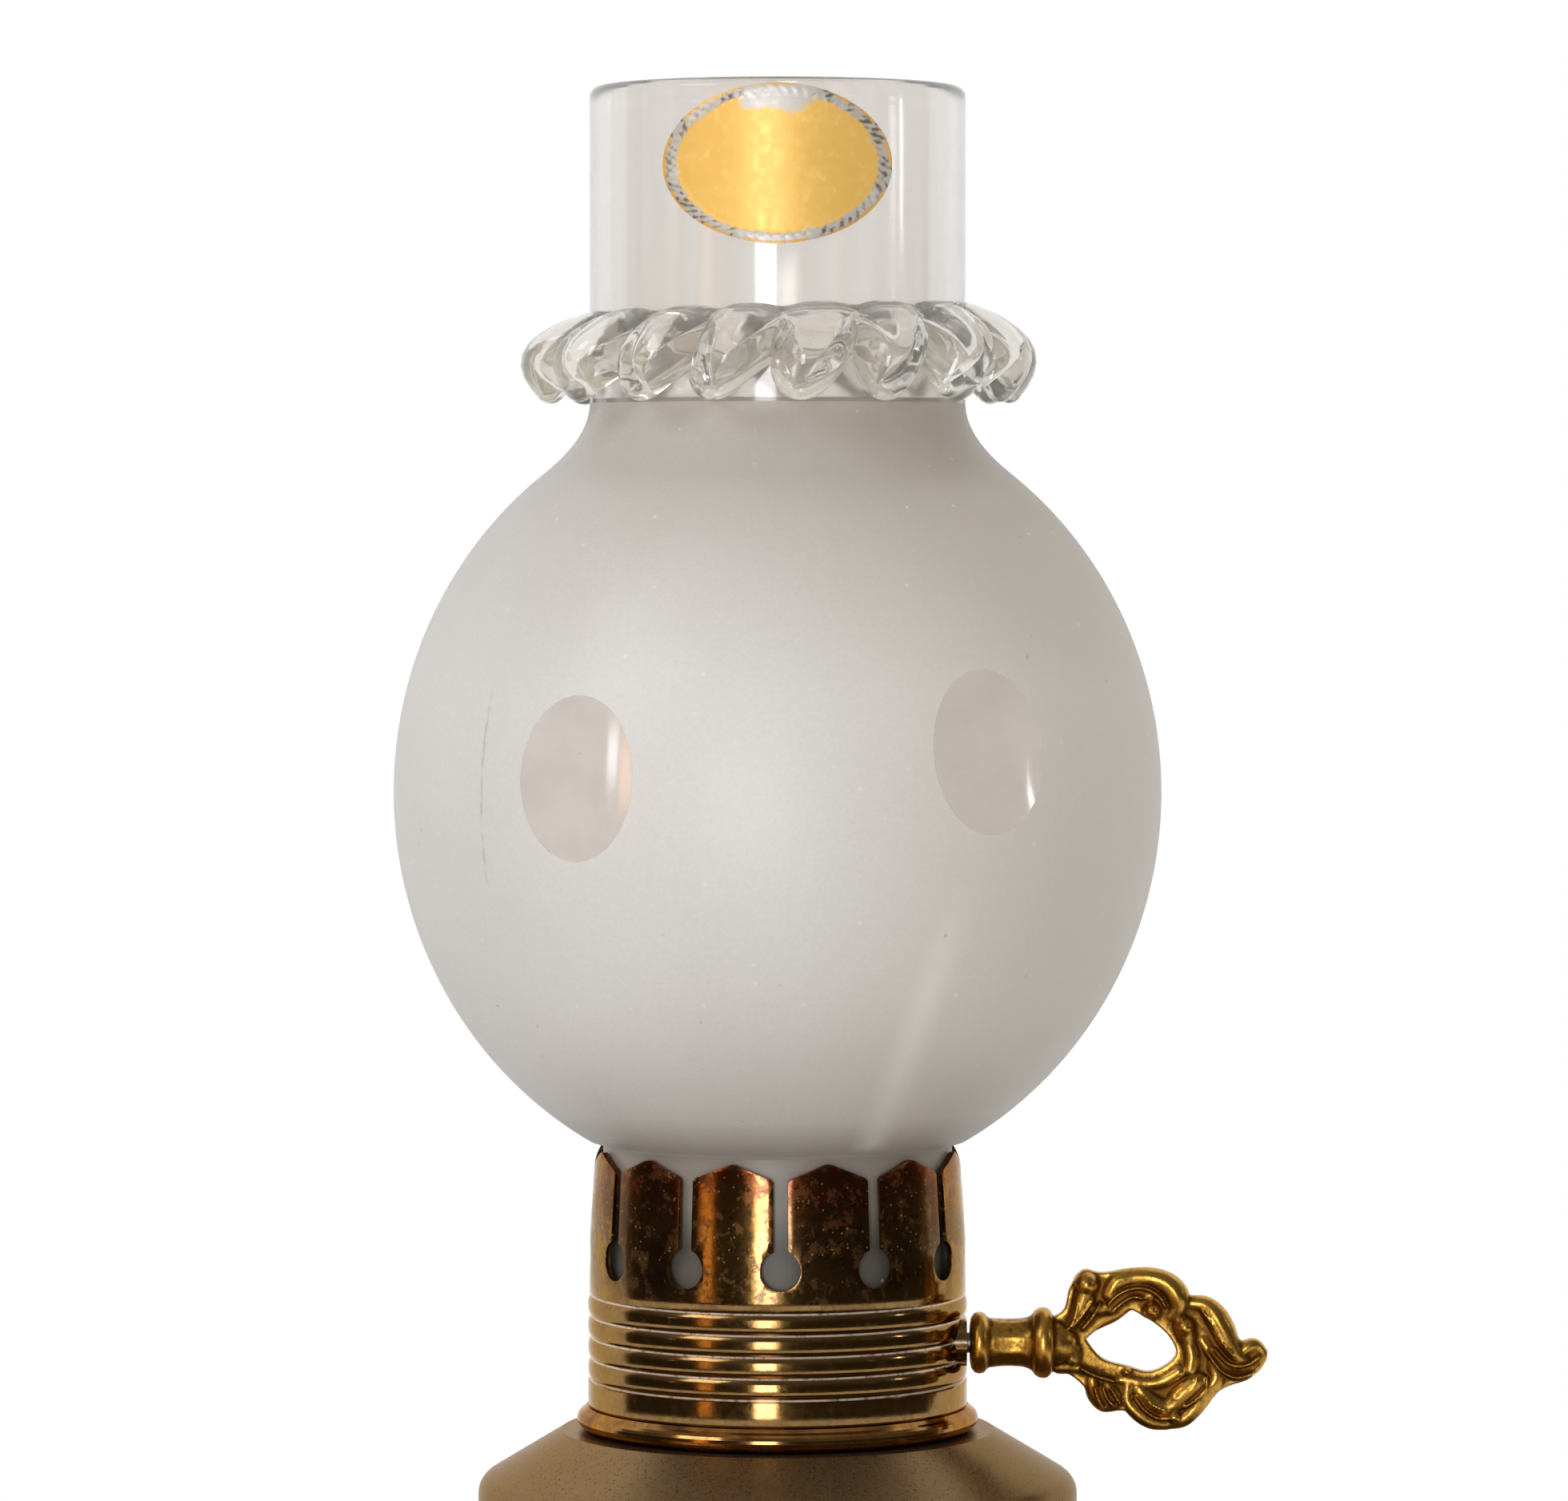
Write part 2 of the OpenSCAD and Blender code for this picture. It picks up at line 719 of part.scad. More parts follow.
// Outline of the cast head in its own plane, measured from the end of the stem and the axis
head_edge = [[-0.8, 2.6], [1.3, 3.5], [1.5, 5.6], [2.9, 7.5], [4.6, 7.0], [6.6, 7.2], [9.8, 7.4],
             [12.4, 6.4], [13.6, 4.7], [15.4, 4.1], [17.2, 1.9], [18.6, 0.2], [20.0, 0.2],
             [21.2, -1.2], [19.6, -3.5], [16.8, -4.5], [14.4, -6.4], [12.4, -8.3], [9.6, -8.5],
             [7.2, -6.9], [4.7, -6.8], [3.2, -4.6], [1.8, -3.3], [-0.8, -2.6]];
head_window = [[3.2, 0.1], [5.4, 2.2], [7.4, 3.3], [9.6, 2.0], [11.6, 0.4], [11.9, -1.4],
               [9.8, -2.8], [7.2, -2.4], [4.6, -1.2]];
// Rounded swellings on the head: place along, place across, radius
head_knobs = [[3.0, 5.4, 2.2], [10.2, 3.9, 1.9], [7.6, 5.4, 2.1], [14.6, 1.8, 2.2], [17.0, -1.4, 2.3],
              [12.6, -5.2, 2.4], [8.8, -5.6, 2.3], [5.0, -4.6, 2.0], [1.4, 1.6, 2.2]];

module wick_key() {
    head_steps = 4;
    color(gilt_tone)
    translate([key_x, key_y, key_z])
    difference() {
        union() {
            rotate([0, 90, 0])
                rotate_extrude($fn = 48)
                    stem_section();
            translate([stem_l, 0, 0]) {
                rotate([90, 0, 0])
                    translate([0, 0, -head_t / 2])
                        linear_extrude(height = head_t)
                            difference() {
                                polygon(loop_curve(head_edge, head_steps));
                                polygon(loop_curve(head_window, head_steps));
                            }
                for (k = head_knobs)
                    translate([k[0], 0, k[1]])
                        sphere(r = k[2], $fn = 32);
            }
        }
        bar_x(spindle_d / 2, -cut, socket_l + cut);
    }
}

module wick() {
    color(wick_tone)
    translate([0, 0, wick_foot_z])
        linear_extrude(height = wick_top_z - wick_foot_z)
            oblong(wick_w, wick_t);
}

/* Glass */

// Height above the globe's centre at which an oval of half axes a and b is r wide
function oval_rise(a, b, r) = b * sqrt(1 - pow(r / a, 2));

// Angle of the point where that oval is r wide
function oval_angle(a, b, r) = atan2(oval_rise(a, b, r) / b, r / a);

// The globe stands on its fitter, and the flare and the neck follow from the globe
globe_b = globe_h / 2;
step_r = fitter_r + globe_step;
flare_r = flare_d / 2;
globe_z = joint_z + oval_rise(globe_r, globe_b, step_r);
flare_rise = oval_rise(globe_r, globe_b, flare_r);
flare_lean = pow(globe_r / globe_b, 2) * flare_rise / flare_r;
flare_z = globe_z + flare_rise;
flare_corner_z = flare_z + (flare_r - neck_r) / flare_lean;
neck_z = flare_corner_z + flare_ease;
lip_z = neck_z + neck_h;
frill_z = neck_z + frill_h / 2;
label_z = lip_z - label_gap - label_h / 2;

// Outside of the glass from its foot up to its lip
function glass_outside() =
    let (start = -oval_angle(globe_r, globe_b, step_r),
         end = oval_angle(globe_r, globe_b, flare_r),
         soft = 0.4)
    concat(
        [[fitter_r - soft, deck_z], [fitter_r, deck_z + soft], [fitter_r, joint_z - soft],
         [fitter_r + soft, joint_z]],
        oval_arc(0, globe_z, globe_r, globe_b, start, end, 40),
        bend([flare_r, flare_z], [neck_r, flare_corner_z], [neck_r, neck_z], 8),
        [[neck_r, lip_z - glass_wall / 2]]);

// Inside of the glass from its foot up to its lip
function glass_inside() =
    let (a = globe_r - glass_wall,
         b = globe_b - glass_wall,
         low_r = fitter_r - glass_wall,
         high_r = neck_r - glass_wall)
    concat(
        [[low_r, deck_z]],
        oval_arc(0, globe_z, a, b, -oval_angle(a, b, low_r), oval_angle(a, b, high_r), 40),
        [[high_r, lip_z - glass_wall / 2]]);

// Which way a window faces, in degrees from the front towards the key, and its height
function window_turn(i) = 360 * (i - 0.5) / window_count;
function window_z(i) = globe_z + window_rise + (i % 2 == 0 ? -1 : 1) * window_stray;

// Flat grinding tool set square to the globe, deep enough for the window's diameter
module grinder(i) {
    rise = window_z(i) - globe_z;
    surface_r = globe_r * sqrt(1 - pow(rise / globe_b, 2));
    tilt = atan2(rise / pow(globe_b, 2), surface_r / pow(globe_r, 2));
    depth = globe_r - sqrt(pow(globe_r, 2) - pow(window_d / 2, 2));
    rotate([0, 0, window_turn(i) - 90])
        translate([surface_r, 0, window_z(i)])
            rotate([0, -tilt, 0])
                bar_x(window_d, -depth, 2 * depth + cut);
}

module glass_chimney() {
    color(frosted_tone)
    difference() {
        rotate_extrude() {
            polygon(concat(glass_outside(), backwards(glass_inside())));
            translate([neck_r - glass_wall / 2, lip_z - glass_wall / 2])
                circle(d = glass_wall, $fn = 32);
        }
        for (i = [0:window_count - 1])
            grinder(i);
    }
}

module glass_frill() {
    root = 0.85;
    trail_in = 0.6;
    fold_r = (frill_reach + root) / 2;
    wave = frill_h / 2 - fold_r;
    trail_r = fold_r * 0.78;
    path_r = neck_r + frill_reach - fold_r;
    color(clear_tone)
    difference() {
        union() {
            rotate_extrude()
                translate([path_r - trail_in, frill_z])
                    circle(r = trail_r, $fn = 48);
            for (i = [0:fold_count - 1])
                rotate([0, 0, 360 * i / fold_count])
                    translate([path_r, 0, frill_z + (i % 2 == 0 ? wave : -wave)])
                        sphere(r = fold_r, $fn = 48);
        }
        translate([0, 0, frill_z - frill_h])
            cylinder(r = neck_r, h = 2 * frill_h);
    }
}

module foil_label() {
    color(foil_tone)
    intersection() {
        translate([0, 0, label_z - label_h])
            ring(neck_r + label_t, neck_r, 2 * label_h);
        translate([0, 0, label_z])
            rotate([90, 0, 0])
                linear_extrude(height = neck_d)
                    polygon(oval_arc(0, 0, label_w / 2, label_h / 2, 0, 352.5, 47));
    }
}

base_pad();
ashtray_dish();
cigarette_rests();
stud_washer();
stud_nut();
foot_ring();
font_lower_shell();
font_upper_shell();
font_stud();
font_collar();
burner_gallery();
burner_base_plate();
burner_screw_neck();
air_plate();
wick_tube();
flame_dome();
spindle_bush();
spindle_bracket();
wick_key();
key_spindle();
feed_wheels();
wick();
glass_chimney();
glass_frill();
foil_label();
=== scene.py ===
import math
import random

import bmesh
import bpy
from bpy.props import (BoolProperty, FloatProperty, FloatVectorProperty, IntProperty,
                       PointerProperty)
from mathutils import Matrix, Vector


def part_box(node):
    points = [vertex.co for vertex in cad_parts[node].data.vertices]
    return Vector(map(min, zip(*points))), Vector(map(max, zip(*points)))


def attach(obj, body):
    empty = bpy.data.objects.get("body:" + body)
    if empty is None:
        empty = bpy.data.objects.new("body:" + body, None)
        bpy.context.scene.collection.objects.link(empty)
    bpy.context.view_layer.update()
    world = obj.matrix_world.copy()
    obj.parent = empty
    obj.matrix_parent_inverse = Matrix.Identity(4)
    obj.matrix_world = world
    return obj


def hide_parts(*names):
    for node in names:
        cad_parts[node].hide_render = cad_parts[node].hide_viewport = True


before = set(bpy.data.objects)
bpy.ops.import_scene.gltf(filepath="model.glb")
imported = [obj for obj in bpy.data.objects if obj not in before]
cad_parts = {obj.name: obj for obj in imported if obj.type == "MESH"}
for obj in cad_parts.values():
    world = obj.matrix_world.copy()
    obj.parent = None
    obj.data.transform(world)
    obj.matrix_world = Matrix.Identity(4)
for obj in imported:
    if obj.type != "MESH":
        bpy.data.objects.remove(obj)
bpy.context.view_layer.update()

bl_info = {
    "name": "Ashtray Lamp",
    "version": (1, 0, 0),
    "blender": (4, 5, 0),
    "location": "View3D > Sidebar > Ashtray Lamp",
    "description": "Dresses the packed ashtray lamp: glass, brass, font, key and soft parts",
    "category": "Object",
}

MM = 0.001
PHOTO_W, PHOTO_H = 1960, 1876

GLASS_LOW, GLASS_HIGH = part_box("glass_chimney")
FRILL_LOW, FRILL_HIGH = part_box("glass_frill")
LABEL_LOW, LABEL_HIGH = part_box("foil_label")
GALLERY_LOW, GALLERY_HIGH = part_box("burner_gallery")
KEY_LOW, KEY_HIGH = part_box("wick_key")
WICK_LOW, WICK_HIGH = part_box("wick")
PAD_LOW, PAD_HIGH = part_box("base_pad")
FONT_LOW, FONT_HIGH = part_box("font_upper_shell")
COLLAR_LOW, COLLAR_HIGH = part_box("font_collar")
SPINDLE_LOW, SPINDLE_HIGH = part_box("key_spindle")
WINDOW_COUNT = 5
LEFT_WINDOW, RIGHT_WINDOW = math.radians(-30.5), math.radians(32.5)
FINGER_COUNT = 12
SLOT_TURN = math.radians(1.0)


def tone(red, green, blue):
    """A colour as it is seen on a screen, 0 to 255, in the linear form that Blender reads."""
    def linear(value):
        value /= 255
        return value / 12.92 if value <= 0.04045 else ((value + 0.055) / 1.055) ** 2.4
    return (linear(red), linear(green), linear(blue), 1.0)


# Settings

def length(label, text, default):
    return FloatProperty(name=label, description=text, default=default, unit="LENGTH",
                         subtype="DISTANCE", precision=5)


def colour(label, text, default):
    return FloatVectorProperty(name=label, description=text, default=default, size=4,
                               subtype="COLOR", min=0.0, max=1.0)


class GlassSettings(bpy.types.PropertyGroup):
    wall: length("Wall", "Thickness of the chimney's glass", 2.0 * MM)
    window_width: length("Window width", "Width of each window ground in the frost",
                         12.5 * MM)
    window_height: length("Window height", "Height of each window", 15.8 * MM)
    window_dish: length("Window dish", "How hollow each window is ground", 0.02 * MM)
    fold_count: IntProperty(name="Folds", description="Folds round the frill", default=17,
                            min=8, max=40)
    fold_height: length("Fold height", "How far the frill hangs in a crease", 4.2 * MM)
    frill_sheet: length("Frill sheet", "Thickness of the frill's glass", 1.8 * MM)
    frost: colour("Frost", "Colour of the satin frosted globe", tone(243, 241, 238))
    clear: colour("Clear glass", "Tint of the clear neck and the frill",
                  tone(246, 244, 241))


class BrassSettings(bpy.types.PropertyGroup):
    groove: length("Groove", "Depth of the grooves between the ribs", 0.3 * MM)
    finger_edge: length("Finger edge", "Rounding of the edges of the fingers", 0.14 * MM)
    bright: colour("Bright brass", "Brass where it is rubbed clean", tone(148, 114, 64))
    brown: colour("Brown tarnish", "Brass where it has gone brown", tone(68, 44, 26))
    bronze: colour("Bronze", "Satin bronze of the font and the dish", tone(134, 108, 78))
    gilt: colour("Gilt", "Bright gilding of the wick key", tone(206, 158, 72))


class SoftSettings(bpy.types.PropertyGroup):
    cord_count: IntProperty(name="Cords", description="Cords across the wick's weave",
                            default=13, min=5, max=30)
    pad_edge: length("Pad edge", "Rounding of the felt pad's edge", 0.45 * MM)
    cotton: colour("Cotton", "Colour of the clean wick", tone(226, 214, 190))
    felt: colour("Felt", "Colour of the felt under the dish", tone(52, 72, 56))


class FoilSettings(bpy.types.PropertyGroup):
    rope: length("Rope border", "Width of the rope border round the blank field", 1.15 * MM)
    gold: colour("Gold", "Colour of the blank field", tone(244, 196, 102))
    silver: colour("Silver", "Colour of the worn rope border", tone(196, 188, 178))


class StageSettings(bpy.types.PropertyGroup):
    distance: length("Camera distance", "From the lamp's axis to the camera", 0.669)
    height: length("Camera height", "Height of the camera above the floor", 0.122)
    aside: length("Camera aside", "How far the camera stands to the right", 0.00063)
    tilt: FloatProperty(name="Camera tilt", description="How far the camera looks down",
                        default=math.radians(2.176), subtype="ANGLE", unit="ROTATION")
    wide: FloatProperty(name="Camera width", description="Angle across the photograph",
                        default=math.radians(13.155), subtype="ANGLE", unit="ROTATION")
    floor: colour("Floor", "Colour of the pale floor", (0.8, 0.8, 0.8, 1.0))
    room_light: FloatProperty(name="Room light", description="Plain light from all round",
                              default=0.70, min=0.0, max=2.0)


# Node benches, groups and finishes

class Bench:
    """Adds and links the nodes of one material, world or group."""

    def __init__(self, tree):
        self.tree = tree

    def feed(self, socket, value):
        if isinstance(value, bpy.types.NodeSocket):
            self.tree.links.new(value, socket)
        else:
            socket.default_value = value

    def add(self, kind, feeds=None, **options):
        node = self.tree.nodes.new(kind)
        for name, value in options.items():
            setattr(node, name, value)
        for name, value in (feeds or {}).items():
            self.feed(node.inputs[name], value)
        return node

    def sums(self, operation, first, second=0.0, clamp=False):
        node = self.add("ShaderNodeMath", {0: first, 1: second}, operation=operation,
                        use_clamp=clamp)
        return node.outputs[0]

    def span(self, value, low, high, to_low=0.0, to_high=1.0):
        """Runs from to_low to to_high as value runs from low to high, and stops there."""
        node = self.add("ShaderNodeMapRange", {0: value, 1: low, 2: high, 3: to_low,
                                               4: to_high}, clamp=True)
        return node.outputs[0]

    def mix(self, mask, first, second, blend="MIX"):
        node = self.add("ShaderNodeMix", data_type="RGBA", blend_type=blend)
        for index, value in ((0, mask), (6, first), (7, second)):
            self.feed(node.inputs[index], value)
        return node.outputs[2]

    def placed(self, where, scale=(1, 1, 1), shift=(0, 0, 0), turn=(0, 0, 0)):
        node = self.add("ShaderNodeMapping", {"Vector": where, "Location": shift,
                                              "Rotation": turn, "Scale": scale})
        return node.outputs[0]

    def noise(self, where, scale, detail=2.0, rough=0.5, bend=0.0):
        node = self.add("ShaderNodeTexNoise", {"Vector": where, "Scale": scale,
                                               "Detail": detail, "Roughness": rough,
                                               "Distortion": bend})
        return node.outputs[0]

    def axes(self, where):
        node = self.add("ShaderNodeSeparateXYZ", {0: where})
        return node.outputs[0], node.outputs[1], node.outputs[2]

    def bump(self, height, depth, strength=1.0, under=None):
        feeds = {"Height": height, "Distance": depth, "Strength": strength}
        if under is not None:
            feeds["Normal"] = under
        return self.add("ShaderNodeBump", feeds).outputs[0]

    def group(self, name, feeds):
        node = self.add("ShaderNodeGroup", node_tree=bpy.data.node_groups[name])
        for label, value in feeds.items():
            self.feed(node.inputs[label], value)
        return node.outputs


def new_group(name, inputs, outputs):
    """A node group with named inputs and outputs, with its bench and its two end nodes."""
    tree = bpy.data.node_groups.new(name, "ShaderNodeTree")
    for label, kind, default in inputs:
        socket = tree.interface.new_socket(name=label, in_out="INPUT", socket_type=kind)
        if default is not None:
            socket.default_value = default
    for label in outputs:
        tree.interface.new_socket(name=label, in_out="OUTPUT",
                                  socket_type="NodeSocketFloat")
    bench = Bench(tree)
    return bench, bench.add("NodeGroupInput").outputs, bench.add("NodeGroupOutput").inputs


def make_groups():
    """The effects that several finishes share."""
    vector, number = "NodeSocketVector", "NodeSocketFloat"

    bench, given, out = new_group(
        "Tarnish", [("Vector", vector, None), ("Scale", number, 150.0),
                    ("Amount", number, 0.5), ("Softness", number, 0.12)],
        ["Patches", "Mottle"])
    wide = bench.noise(given["Vector"], given["Scale"], 5.0, 0.6, 0.4)
    fine = bench.noise(given["Vector"], bench.sums("MULTIPLY", given["Scale"], 6.0), 4.0,
                       0.65, 0.2)
    mixed = bench.sums("ADD", bench.sums("MULTIPLY", wide, 0.72),
                       bench.sums("MULTIPLY", fine, 0.28))
    edge = bench.sums("SUBTRACT", 1.0, given["Amount"])
    edge = bench.span(edge, 0.0, 1.0, 0.3, 0.7)
    low = bench.sums("SUBTRACT", edge, given["Softness"])
    high = bench.sums("ADD", edge, given["Softness"])
    node = bench.add("ShaderNodeMapRange", {0: mixed, 1: low, 2: high}, clamp=True)
    bench.feed(out["Patches"], node.outputs[0])
    bench.feed(out["Mottle"], bench.span(fine, 0.3, 0.7))

    bench, given, out = new_group(
        "Specks", [("Vector", vector, None), ("Scale", number, 600.0),
                   ("Share", number, 0.1), ("Size", number, 0.2)], ["Mask"])
    cells = bench.add("ShaderNodeTexVoronoi", {"Vector": given["Vector"],
                                               "Scale": given["Scale"]})
    lot = bench.axes(cells.outputs["Color"])[0]
    chosen = bench.sums("LESS_THAN", lot, given["Share"])
    near = bench.sums("SUBTRACT", given["Size"], cells.outputs["Distance"])
    near = bench.span(near, 0.0, 0.08)
    bench.feed(out["Mask"], bench.sums("MULTIPLY", near, chosen))

    bench, given, out = new_group(
        "Turning lines", [("Vector", vector, None), ("Scale", number, 3000.0)], ["Height"])
    along = bench.placed(given["Vector"], (0.0, 0.0, 1.0))
    bench.feed(out["Height"], bench.noise(along, given["Scale"], 3.0, 0.7))

    bench, given, out = new_group(
        "Grain", [("Vector", vector, None), ("Scale", number, 2500.0)], ["Height"])
    bench.feed(out["Height"], bench.noise(given["Vector"], given["Scale"], 3.0, 0.75))


def new_finish(name):
    """A material with its bench, the Object coordinates and its Principled shader."""
    material = bpy.data.materials.new(name)
    material.use_nodes = True
    bench = Bench(material.node_tree)
    bench.tree.nodes.clear()
    output = bench.add("ShaderNodeOutputMaterial")
    shader = bench.add("ShaderNodeBsdfPrincipled")
    bench.feed(output.inputs["Surface"], shader.outputs["BSDF"])
    where = bench.add("ShaderNodeTexCoord").outputs["Object"]
    return material, bench, where, shader


def set_shader(bench, shader, **values):
    """Sets the shader's sockets, with _ for a space in their names."""
    for name, value in values.items():
        bench.feed(shader.inputs[name.replace("_", " ")], value)


def frosted_finish(glass):
    """Satin frost: pale grey beige, with fine grain, dust specks, a worn streak, and painted
    shade on the upper right, the lower globe and the fitter.
    """
    material, bench, where, shader = new_finish("satin_frost")
    x, y, z = bench.axes(where)
    cloud = bench.noise(where, 45.0, 3.0, 0.55)
    grain = bench.group("Grain", {"Vector": where, "Scale": 2600.0})["Height"]
    base = bench.mix(bench.span(cloud, 0.35, 0.7, 0.0, 0.35), tuple(glass.frost),
                     tone(232, 228, 221))
    base = bench.mix(bench.span(grain, 0.35, 0.65, 0.0, 0.12), base, tone(180, 176, 170))
    # painted shade: the upper globe is darkened to a brown beige, more strongly on the right
    # side
    brown = bench.span(z, GLASS_LOW.z + 60 * MM, GLASS_LOW.z + 86 * MM, 0.0, 0.66)
    shade_to_right = bench.span(x, -16 * MM, 34 * MM, 0.4, 1.0)
    base = bench.mix(bench.sums("MULTIPLY", brown, shade_to_right), base, tone(165, 145, 114))
    # painted shade: the right side of the globe is made darker and warmer
    base = bench.mix(bench.span(x, 2 * MM, 32 * MM, 0.0, 0.5), base, tone(220, 206, 184))
    # painted shade: the lower globe is made darker and warmer, more on the right
    under = bench.sums("MULTIPLY", bench.span(z, 84 * MM, 58 * MM, 0.0, 0.25),
                       bench.span(x, -20 * MM, 10 * MM, 0.4, 1.0))
    base = bench.mix(under, base, tone(226, 212, 192))
    # painted shade: the globe is darkened just above its joint with the fitter
    joint_shade = bench.span(z, 62 * MM, (JOINT_Z + 0.4) * MM, 0.0, 0.5)
    base = bench.mix(joint_shade, base, tone(150, 138, 122))
    # painted shade: the fitter under the globe's overhang is darker, more on the right
    fitter_shade = bench.span(z, (JOINT_Z - 0.4) * MM, (JOINT_Z + 0.1) * MM, 0.55, 0.0)
    fitter_shade = bench.sums("MULTIPLY", fitter_shade, bench.span(x, 2 * MM, 15 * MM, 1.0, 1.5))
    base = bench.mix(fitter_shade, base, tone(150, 139, 125))
    # painted shadow: the fitter inside the gallery is made dark grey below 53 mm
    deep = bench.span(z, 49 * MM, 53 * MM, 0.7, 0.0)
    base = bench.mix(deep, base, tone(78, 72, 62))
    front = bench.sums("LESS_THAN", y, 0.0)
    slope = bench.sums("MULTIPLY", z, -1 / 3)
    streak = bench.sums("ABSOLUTE", bench.sums("ADD", bench.sums("ADD", x, 10.8 * MM), slope))
    streak = bench.sums("MULTIPLY", bench.span(streak, 0.3 * MM, 2.2 * MM, 0.75, 0.0),
                        bench.span(z, 86 * MM, 74 * MM))
    streak = bench.sums("MULTIPLY", streak, bench.span(z, 58.4 * MM, 59.4 * MM))
    base = bench.mix(bench.sums("MULTIPLY", streak, front), base, tone(250, 246, 240))
    turn = bench.sums("ARCTAN2", x, bench.sums("MULTIPLY", y, -1.0))
    scratch = bench.span(bench.sums("ABSOLUTE", bench.sums("ADD", turn, math.radians(48))),
                         0.002, 0.007, 0.3, 0.0)
    scratch = bench.sums("MULTIPLY", scratch, bench.span(
        bench.sums("ABSOLUTE", bench.sums("SUBTRACT", z, 94 * MM)), 7 * MM, 10 * MM,
        1.0, 0.0))
    scratch = bench.sums("MULTIPLY", scratch, bench.span(
        bench.noise(where, 900.0, 2.0, 0.5), 0.40, 0.56, 0.15, 1.0))
    base = bench.mix(bench.sums("MULTIPLY", scratch, front), base, tone(120, 106, 92))
    light = bench.group("Specks", {"Vector": where, "Scale": 420.0, "Share": 0.25,
                                   "Size": 0.11})["Mask"]
    dark = bench.group("Specks", {"Vector": bench.placed(where, shift=(0.3, 0.1, 0.2)),
                                  "Scale": 260.0, "Share": 0.25, "Size": 0.07})["Mask"]
    base = bench.mix(bench.sums("MULTIPLY", light, 0.9), base, tone(255, 254, 250))
    base = bench.mix(bench.sums("MULTIPLY", dark, 0.6), base, tone(96, 84, 70))
    rough = bench.span(cloud, 0.3, 0.7, 0.38, 0.44)
    set_shader(bench, shader, Base_Color=base, Roughness=rough, IOR=1.46,
               Transmission_Weight=0.45,
               Normal=bench.bump(grain, 0.02 * MM, 0.35))
    return material


def window_finish(glass):
    """Ground and polished window in the frost: a pinkish grey haze with a clean face."""
    material, bench, where, shader = new_finish("ground_window")
    haze = bench.noise(where, 160.0, 3.0, 0.55)
    grit = bench.group("Specks", {"Vector": where, "Scale": 700.0, "Share": 0.25,
                                  "Size": 0.12})["Mask"]
    base = bench.mix(bench.span(haze, 0.35, 0.65), tone(250, 243, 238), tone(243, 233, 227))
    base = bench.mix(bench.sums("MULTIPLY", grit, 0.7), base, tone(250, 247, 242))
    set_shader(bench, shader, Base_Color=base, IOR=1.5, Transmission_Weight=0.6,
               Roughness=bench.span(grit, 0.0, 1.0, 0.05, 0.4))
    return material


def clear_finish(glass):
    """Clear pressed glass, a little grey, with faint drawn lines up the neck."""
    material, bench, where, shader = new_finish("drawn_glass")
    drawn = bench.placed(where, (1.0, 1.0, 0.03))
    lines = bench.noise(drawn, 420.0, 2.0, 0.5)
    dust = bench.group("Specks", {"Vector": where, "Scale": 500.0, "Share": 0.05,
                                  "Size": 0.12})["Mask"]
    base = bench.mix(bench.span(lines, 0.35, 0.65), tuple(glass.clear),
                     tone(240, 236, 232))
    base = bench.mix(bench.sums("MULTIPLY", dust, 0.5), base, tone(252, 250, 246))
    rough = bench.span(dust, 0.0, 1.0, 0.10, 0.3)
    set_shader(bench, shader, Base_Color=base, Roughness=rough, IOR=1.5,
               Transmission_Weight=0.92, Normal=bench.bump(lines, 0.02 * MM, 0.4))
    return material


def crimped_finish(glass):
    """Thick glass of the frill: a greenish grey haze, full of seeds and dust."""
    material, bench, where, shader = new_finish("crimped_glass")
    haze = bench.noise(where, 130.0, 3.0, 0.6)
    seeds = bench.group("Specks", {"Vector": where, "Scale": 900.0, "Share": 0.12,
                                   "Size": 0.16})["Mask"]
    base = bench.mix(bench.span(haze, 0.35, 0.65), tone(248, 246, 241), tone(240, 236, 228))
    base = bench.mix(bench.sums("MULTIPLY", seeds, 0.8), base, tone(252, 251, 246))
    set_shader(bench, shader, Base_Color=base, IOR=1.5, Transmission_Weight=0.88,
               Roughness=bench.span(seeds, 0.0, 1.0, 0.035, 0.3),
               Normal=bench.bump(haze, 0.12 * MM, 0.3))
    return material


